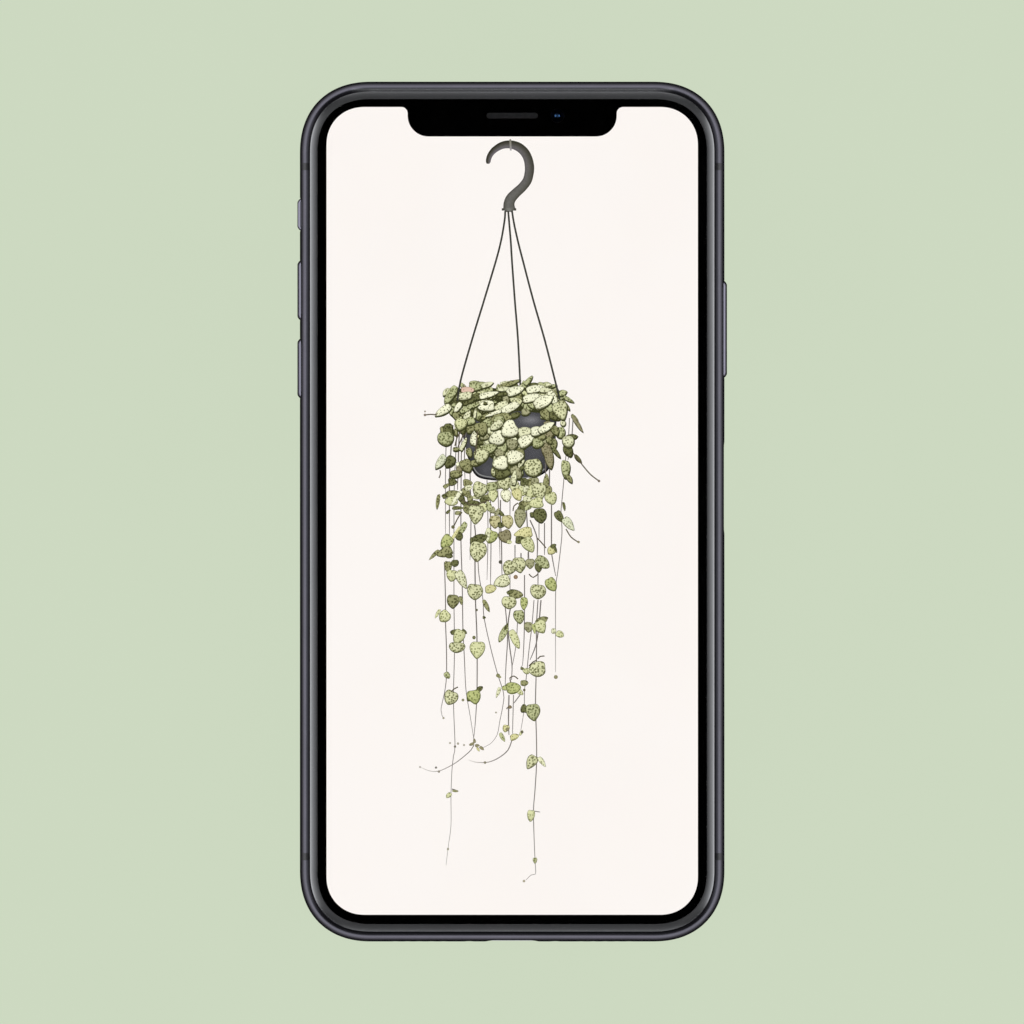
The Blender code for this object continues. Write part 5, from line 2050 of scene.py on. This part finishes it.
upperLeaves = (
    (452, 482, 5, 4, 0, "dark"), (446, 486, 4, 2, 30, "olive"), (445, 496, 4, 2.5, 30, "dark"),
    (438, 501, 8.5, 2, -97, "olive"), (461, 498, 6, 3.5, -60, "dark"), (466, 492, 6, 4, -60, "olive"),
    (470, 499, 5, 3, -80, "olive"), (464, 503, 5, 2.5, -50, "dark"), (448, 512, 3, 1.5, 45, "dark"),
    (467, 483, 5, 4, 0, "olive"), (468, 488, 4, 3, 20, "pale"), (452, 494, 7, 4, 10, "olive"),
    (452, 501, 7, 5, 190, "lime"), (457, 497, 10, 2, 235, "cream"), (457, 508, 6, 2, 0, "dark"),
    (458, 513, 4, 2, 0, "olive"), (467, 509, 5, 4, -80, "olive"), (480, 489, 8, 8, 250, "spotted"),
    (499, 485, 6, 4, 0, "dull"), (492, 487, 6, 6, -80, "green"), (493, 495, 6, 5, -90, "lime"),
    (505, 483, 7, 7, -90, "spotted"), (515, 487, 6.5, 5, -80, "spotted"), (523, 490, 6, 5, -90, "lime"),
    (530, 484, 7, 5, -70, "olive"), (506, 495, 6.5, 5.5, -80, "cream"), (474, 504, 7, 4, 170, "dark"),
    (476, 513, 9.5, 8, -95, "spotted"), (524, 482, 5, 4, 0, "dark"), (513, 480, 8, 2.5, 85, "pale"),
    (526, 489, 4, 4, 0, "pale"), (530, 493, 7, 3.5, 80, "lime"), (517, 494, 7, 5, -60, "lemon"),
    (527, 499, 5, 3, 0, "pale"), (535, 482, 6, 4, -90, "dull"), (547, 490, 6, 5, -90, "olive"),
    (546, 482, 8, 3, 85, "olive"), (539, 490, 9, 7.5, -80, "spotted"), (551, 498, 7, 6, -70, "lime"),
    (537, 503, 8, 5.5, 190, "lime"), (564, 506, 5, 1.5, -80, "dark"), (521, 510, 6, 4, 90, "dark"),
    (520, 517, 10, 6, -90, "dull"), (533, 515, 4, 3, 0, "dark"), (540, 515, 8, 7, -80, "dark"),
    (559, 516, 7, 4, -60, "dark"), (568, 523, 8, 4.5, -50, "mint"), (525, 533, 9, 6, 190, "lemon"),
    (520, 540, 6, 4, 0, "dark"), (528, 544, 9, 6, -60, "lime"), (552, 550, 5, 4.5, 230, "lemon"),
    (553, 546, 3.5, 2, 20, "dark"), (555, 548, 5, 1.4, -70, "dark"), (538.5, 567, 5, 4, -80, "dark"),
    (542, 562, 9, 5.5, -35, "green"), (530, 563, 5, 5, -90, "dull"), (519, 564, 8, 7, -80, "spotted"),
    (510, 567, 8, 7, 240, "spotted"), (495, 521, 6.5, 6, -90, "sand"), (501, 525, 4, 3, 0, "dark"),
    (507.5, 521, 7, 6, -80, "sand"), (508, 535, 5, 3, -90, "brown"), (505, 536, 7.5, 6.5, -70, "brown"),
    (491, 536, 7.5, 6.5, 250, "fresh"), (488, 534, 8, 2.5, -95, "pale"), (473, 541, 4, 4, 0, "dark"),
    (479, 539, 8, 5, 20, "dark"), (478, 550, 10, 9, -95, "spotted"), (463, 528, 8, 3, 240, "green"),
    (459, 536, 5, 4, -70, "dark"), (454, 536, 14, 1.6, 237, "lemon"), (447, 541, 7.5, 6, 230, "fresh"),
    (446, 552, 8, 5.5, 200, "olive"), (449, 556, 4, 2.5, 0, "dark"), (435, 554, 7, 2, 225, "olive"),
    (455, 563, 4, 4, -90, "dark"), (509, 542, 3, 2, 0, "lime"), (448, 566, 6, 4, -90, "olive"),
    (452, 575, 6.5, 5.5, -100, "lime"), (461, 578, 10, 5, -62, "pale"),
)
lowerLeaves = (
    (475, 591, 8.5, 8, -90, "spotted"), (490, 589, 6, 4.5, 10, "lemon"),
    (503, 581, 8.5, 6.5, 205, "pale"), (551, 584, 8, 5.5, -65, "fresh"),
    (538, 591, 8, 8, -90, "spotted"), (453, 600.5, 7, 6.5, -90, "olive"),
    (461, 600, 5, 2, -80, "olive"), (438, 613, 5, 1.8, 240, "lime"), (445, 616, 6.5, 6, 230, "lime"),
    (453.5, 632, 4, 2.5, 30, "dark"), (464, 631.5, 3.5, 2, -40, "dark"), (459, 636, 8, 6, -110, "lime"),
    (457, 647, 6, 8, -90, "spotted"), (477.5, 648.5, 8.5, 8, -95, "lime"),
    (515, 594, 8, 4.5, -10, "olive"), (510, 592, 4.5, 2, 25, "dark"),
    (509, 602, 7, 7.5, -90, "spotted"), (524, 602.5, 6.5, 4, -90, "fresh"),
    (486, 605, 7, 2.4, -62, "olive"), (484, 617.5, 1.8, 1.5, 0, "dark"),
    (503.5, 633, 10, 3.4, 245, "green"), (506, 627, 4, 1.6, 60, "dark"),
    (514.5, 638, 11, 4, -65, "lime"), (519, 616, 7.5, 5.5, -85, "green"),
    (528.5, 626.5, 5.5, 4.5, -90, "dull"), (541, 621, 7, 4, 25, "olive"),
    (540, 626, 7, 6.5, -60, "lime"), (534, 628, 5, 2, -80, "fresh"), (553.5, 631, 2.8, 2.8, 0, "pale"),
    (559.5, 634, 4.5, 3.5, -30, "lime"), (538, 669, 9, 8, 190, "spotted"),
    (526.5, 671, 4, 3, 170, "lime"), (522, 668.5, 2, 1.5, 0, "dark"), (524, 683, 4.5, 3, 0, "olive"),
    (505, 688, 3.5, 2.5, 180, "fresh"), (520, 692, 4, 2.5, -40, "lime"), (512.5, 688, 8, 6, 5, "fresh"),
    (498.5, 691.5, 5.5, 2, -110, "pale"), (447, 675, 4, 3, -60, "green"),
    (451, 697, 8, 7, 250, "spotted"), (479.5, 689, 4, 2.5, 40, "dark"), (469, 699, 3, 2.5, 0, "dark"),
    (474, 696, 7.5, 7, -80, "fresh"), (524, 709, 5, 3.5, 90, "dark"),
    (533, 711, 8.5, 7.5, -80, "green"), (506, 728, 4, 3.5, -100, "lemon"),
    (507.5, 729, 2, 1.5, 0, "brown"), (514, 737, 5, 3.2, 20, "lemon"), (521, 733, 3, 1.5, 60, "lime"),
    (502, 736.5, 5, 2.2, -62, "green"), (472, 744, 3, 1.5, 200, "brown"),
    (474.5, 741, 2.5, 1.3, 100, "brown"), (478, 749, 2.5, 1.3, -60, "lemon"),
    (477, 745.5, 2.5, 1.5, 0, "brown"), (481.5, 748, 3, 1.5, -40, "brown"),
    (449, 795, 3.5, 2.4, 225, "lime"), (455, 791, 3.5, 1.1, -4, "olive"),
    (532, 761, 7.5, 5.5, 240, "spotted"), (541.5, 761, 6, 2.5, -55, "pale"),
    (531, 815, 6.5, 3.8, -95, "lime"), (535, 860, 3, 2.3, -90, "green"),
)
for row in upperLeaves + lowerLeaves:
    addLeaf(*row)
for x, y, halfLength, halfWidth, turn, tone in crownLeaves:
    longer = halfLength * leafForm["crownLength"]
    addLeaf(x, y, longer, halfWidth * leafForm["crownWidth"], turn, tone, True)
for row in potLeaves:
    addLeaf(*row, True)

# The wires from the hook to the pot's rim
wireLook = {
    "halfWidth": 0.95,
    "shades": ((52, 52, 47), (66, 66, 60), (46, 46, 42)),
    "endReach": 8,  # each runs into the leaves this far over its end
}
wires = (
    (
        (505.2, 211), (504.9, 218), (503.1, 230), (500.8, 242), (496.2, 260), (484.2, 300),
        (472, 340), (460.8, 380), (457.5, 401),
    ),
    (
        (508.2, 211), (509.3, 224), (510.8, 242), (511.9, 260), (514.8, 300), (518, 340),
        (520.3, 385),
    ),
    (
        (512, 211), (514.1, 224), (518.1, 242), (522.7, 260), (533.2, 300), (544.7, 340),
        (554.9, 380), (560, 400),
    ),
)

# Thin shoots that curl free, with the beads at their ends and at the strands' knots
shootLook = {"halfWidth": 0.6, "colour": (92, 84, 66)}
shoots = (
    ((462, 500), (474, 505), (489, 500)), ((454, 526), (458, 518), (462, 512)),
    ((537.5, 659), (540, 656.5), (544.5, 656)), ((529, 666), (533, 662), (537, 660)),
    ((451, 692), (454, 689), (458, 687)), ((511, 683), (510, 678), (514, 676), (518, 679)),
    ((506.5, 709), (508.5, 706.5), (512, 707.5)), ((529, 574), (533, 577.5), (538, 574)),
    ((573, 453), (580, 462), (590, 474), (599, 481)), ((437, 415), (431, 414.4), (425, 415)),
    ((440, 470), (440.5, 474), (439, 478)), ((566, 529), (571, 537), (578, 542)),
    ((513, 511), (514, 506), (518, 503)), ((537, 538), (541, 542), (546, 548)),
    ((455, 446), (457, 438), (462, 430)), ((458, 447), (461, 440), (464, 434)),
    ((477.6, 431), (476.6, 442), (475.4, 455)),
)
beadLook = {"sides": 12, "lighter": 40}  # how much brighter a bead's middle is
beads = (
    # x, y, radius, colour
    (599, 481, 1.3, (110, 98, 82)), (425, 415, 1.3, (110, 98, 82)), (425, 411.5, 0.9, (130, 120, 104)),
    (578.5, 542, 1.3, (120, 114, 84)), (524, 881, 1.3, (150, 142, 116)),
    (448, 849, 1.1, (124, 122, 90)), (436, 767.5, 1.1, (72, 68, 56)), (439, 771.5, 1.2, (120, 112, 96)),
    (420, 767, 0.9, (140, 134, 120)), (485, 762.5, 1.3, (112, 106, 82)),
    (474, 637.5, 1.8, (96, 96, 56)), (476.7, 610, 1.3, (84, 80, 60)), (498, 675.5, 2.0, (112, 112, 70)),
    (500, 677, 1.2, (140, 140, 96)), (510, 707, 1.8, (112, 98, 70)), (522, 732, 1.5, (84, 80, 56)),
    (555.8, 677, 2.0, (122, 118, 80)), (455, 746.5, 1.2, (92, 86, 70)),
    (443.5, 718, 1.1, (140, 134, 112)), (453, 527, 1.8, (84, 82, 46)), (500.5, 562, 1.9, (60, 58, 44)),
    (450, 743, 1.1, (160, 154, 138)), (458, 743.5, 1.2, (160, 154, 138)),
    (464, 745, 1.1, (160, 154, 138)), (475.5, 560, 1.5, (84, 82, 46)), (490.5, 520, 1.5, (84, 82, 46)),
    (496, 712.5, 0.9, (130, 126, 100)), (463, 700, 1.4, (120, 116, 84)),
    (524.3, 690, 1.3, (84, 80, 50)), (515.7, 577, 2.2, (128, 104, 76)),
)

def addBead(x, y, radius, colour, z):
    sides = beadLook["sides"]
    rim = circle(x, y, radius, sides)
    light = [min(part + beadLook["lighter"], 255) for part in colour]
    shades = [[light] * (sides + 1), [colour] * (sides + 1)]
    addGrid([[(x, y)] * (sides + 1), rim + rim[:1]], shades, z)


for wire in wires:
    x, y = wire[-1]
    line = smoothLine(wire, picture["longSpacing"])
    level = nextLevel(x, y - wireLook["endReach"], wireLook["endReach"])
    addRibbon(line, wireLook["halfWidth"], wireLook["shades"], level)
for shoot in shoots:
    middle = shoot[len(shoot) // 2]
    level = nextLevel(*middle, dist(shoot[0], shoot[-1]) / 2)
    addRibbon(smoothLine(shoot), shootLook["halfWidth"], [shootLook["colour"]] * 2, level)
for x, y, radius, colour in beads:
    addBead(x, y, radius, colour, nextLevel(x, y, radius))


def showSheet(name, sheet, kinds, material):
    # a flat part of the picture as one mesh, with its values on its points
    mesh = bpy.data.meshes.new(name)
    mesh.from_pydata([Vector(point) * mm for point in sheet["points"]], [], sheet["faces"])
    for label, kind in kinds.items():
        keepOnPoints(mesh, label, sheet[label], kind)
    settle(showMesh(name, mesh, material), "display")


showSheet("pictureStems", painted, {"paintColour": "FLOAT_COLOR"}, "picture_paint")
showSheet("pictureLeaves", leaves, leafKinds, "leaf_paint")
topLayer = max(layer for x, y, reach, layer in drawn)
topLevel = picture["lowest"] + picture["step"] * topLayer
print("Leaves drawn, highest level", round(topLevel, 3), "mm")
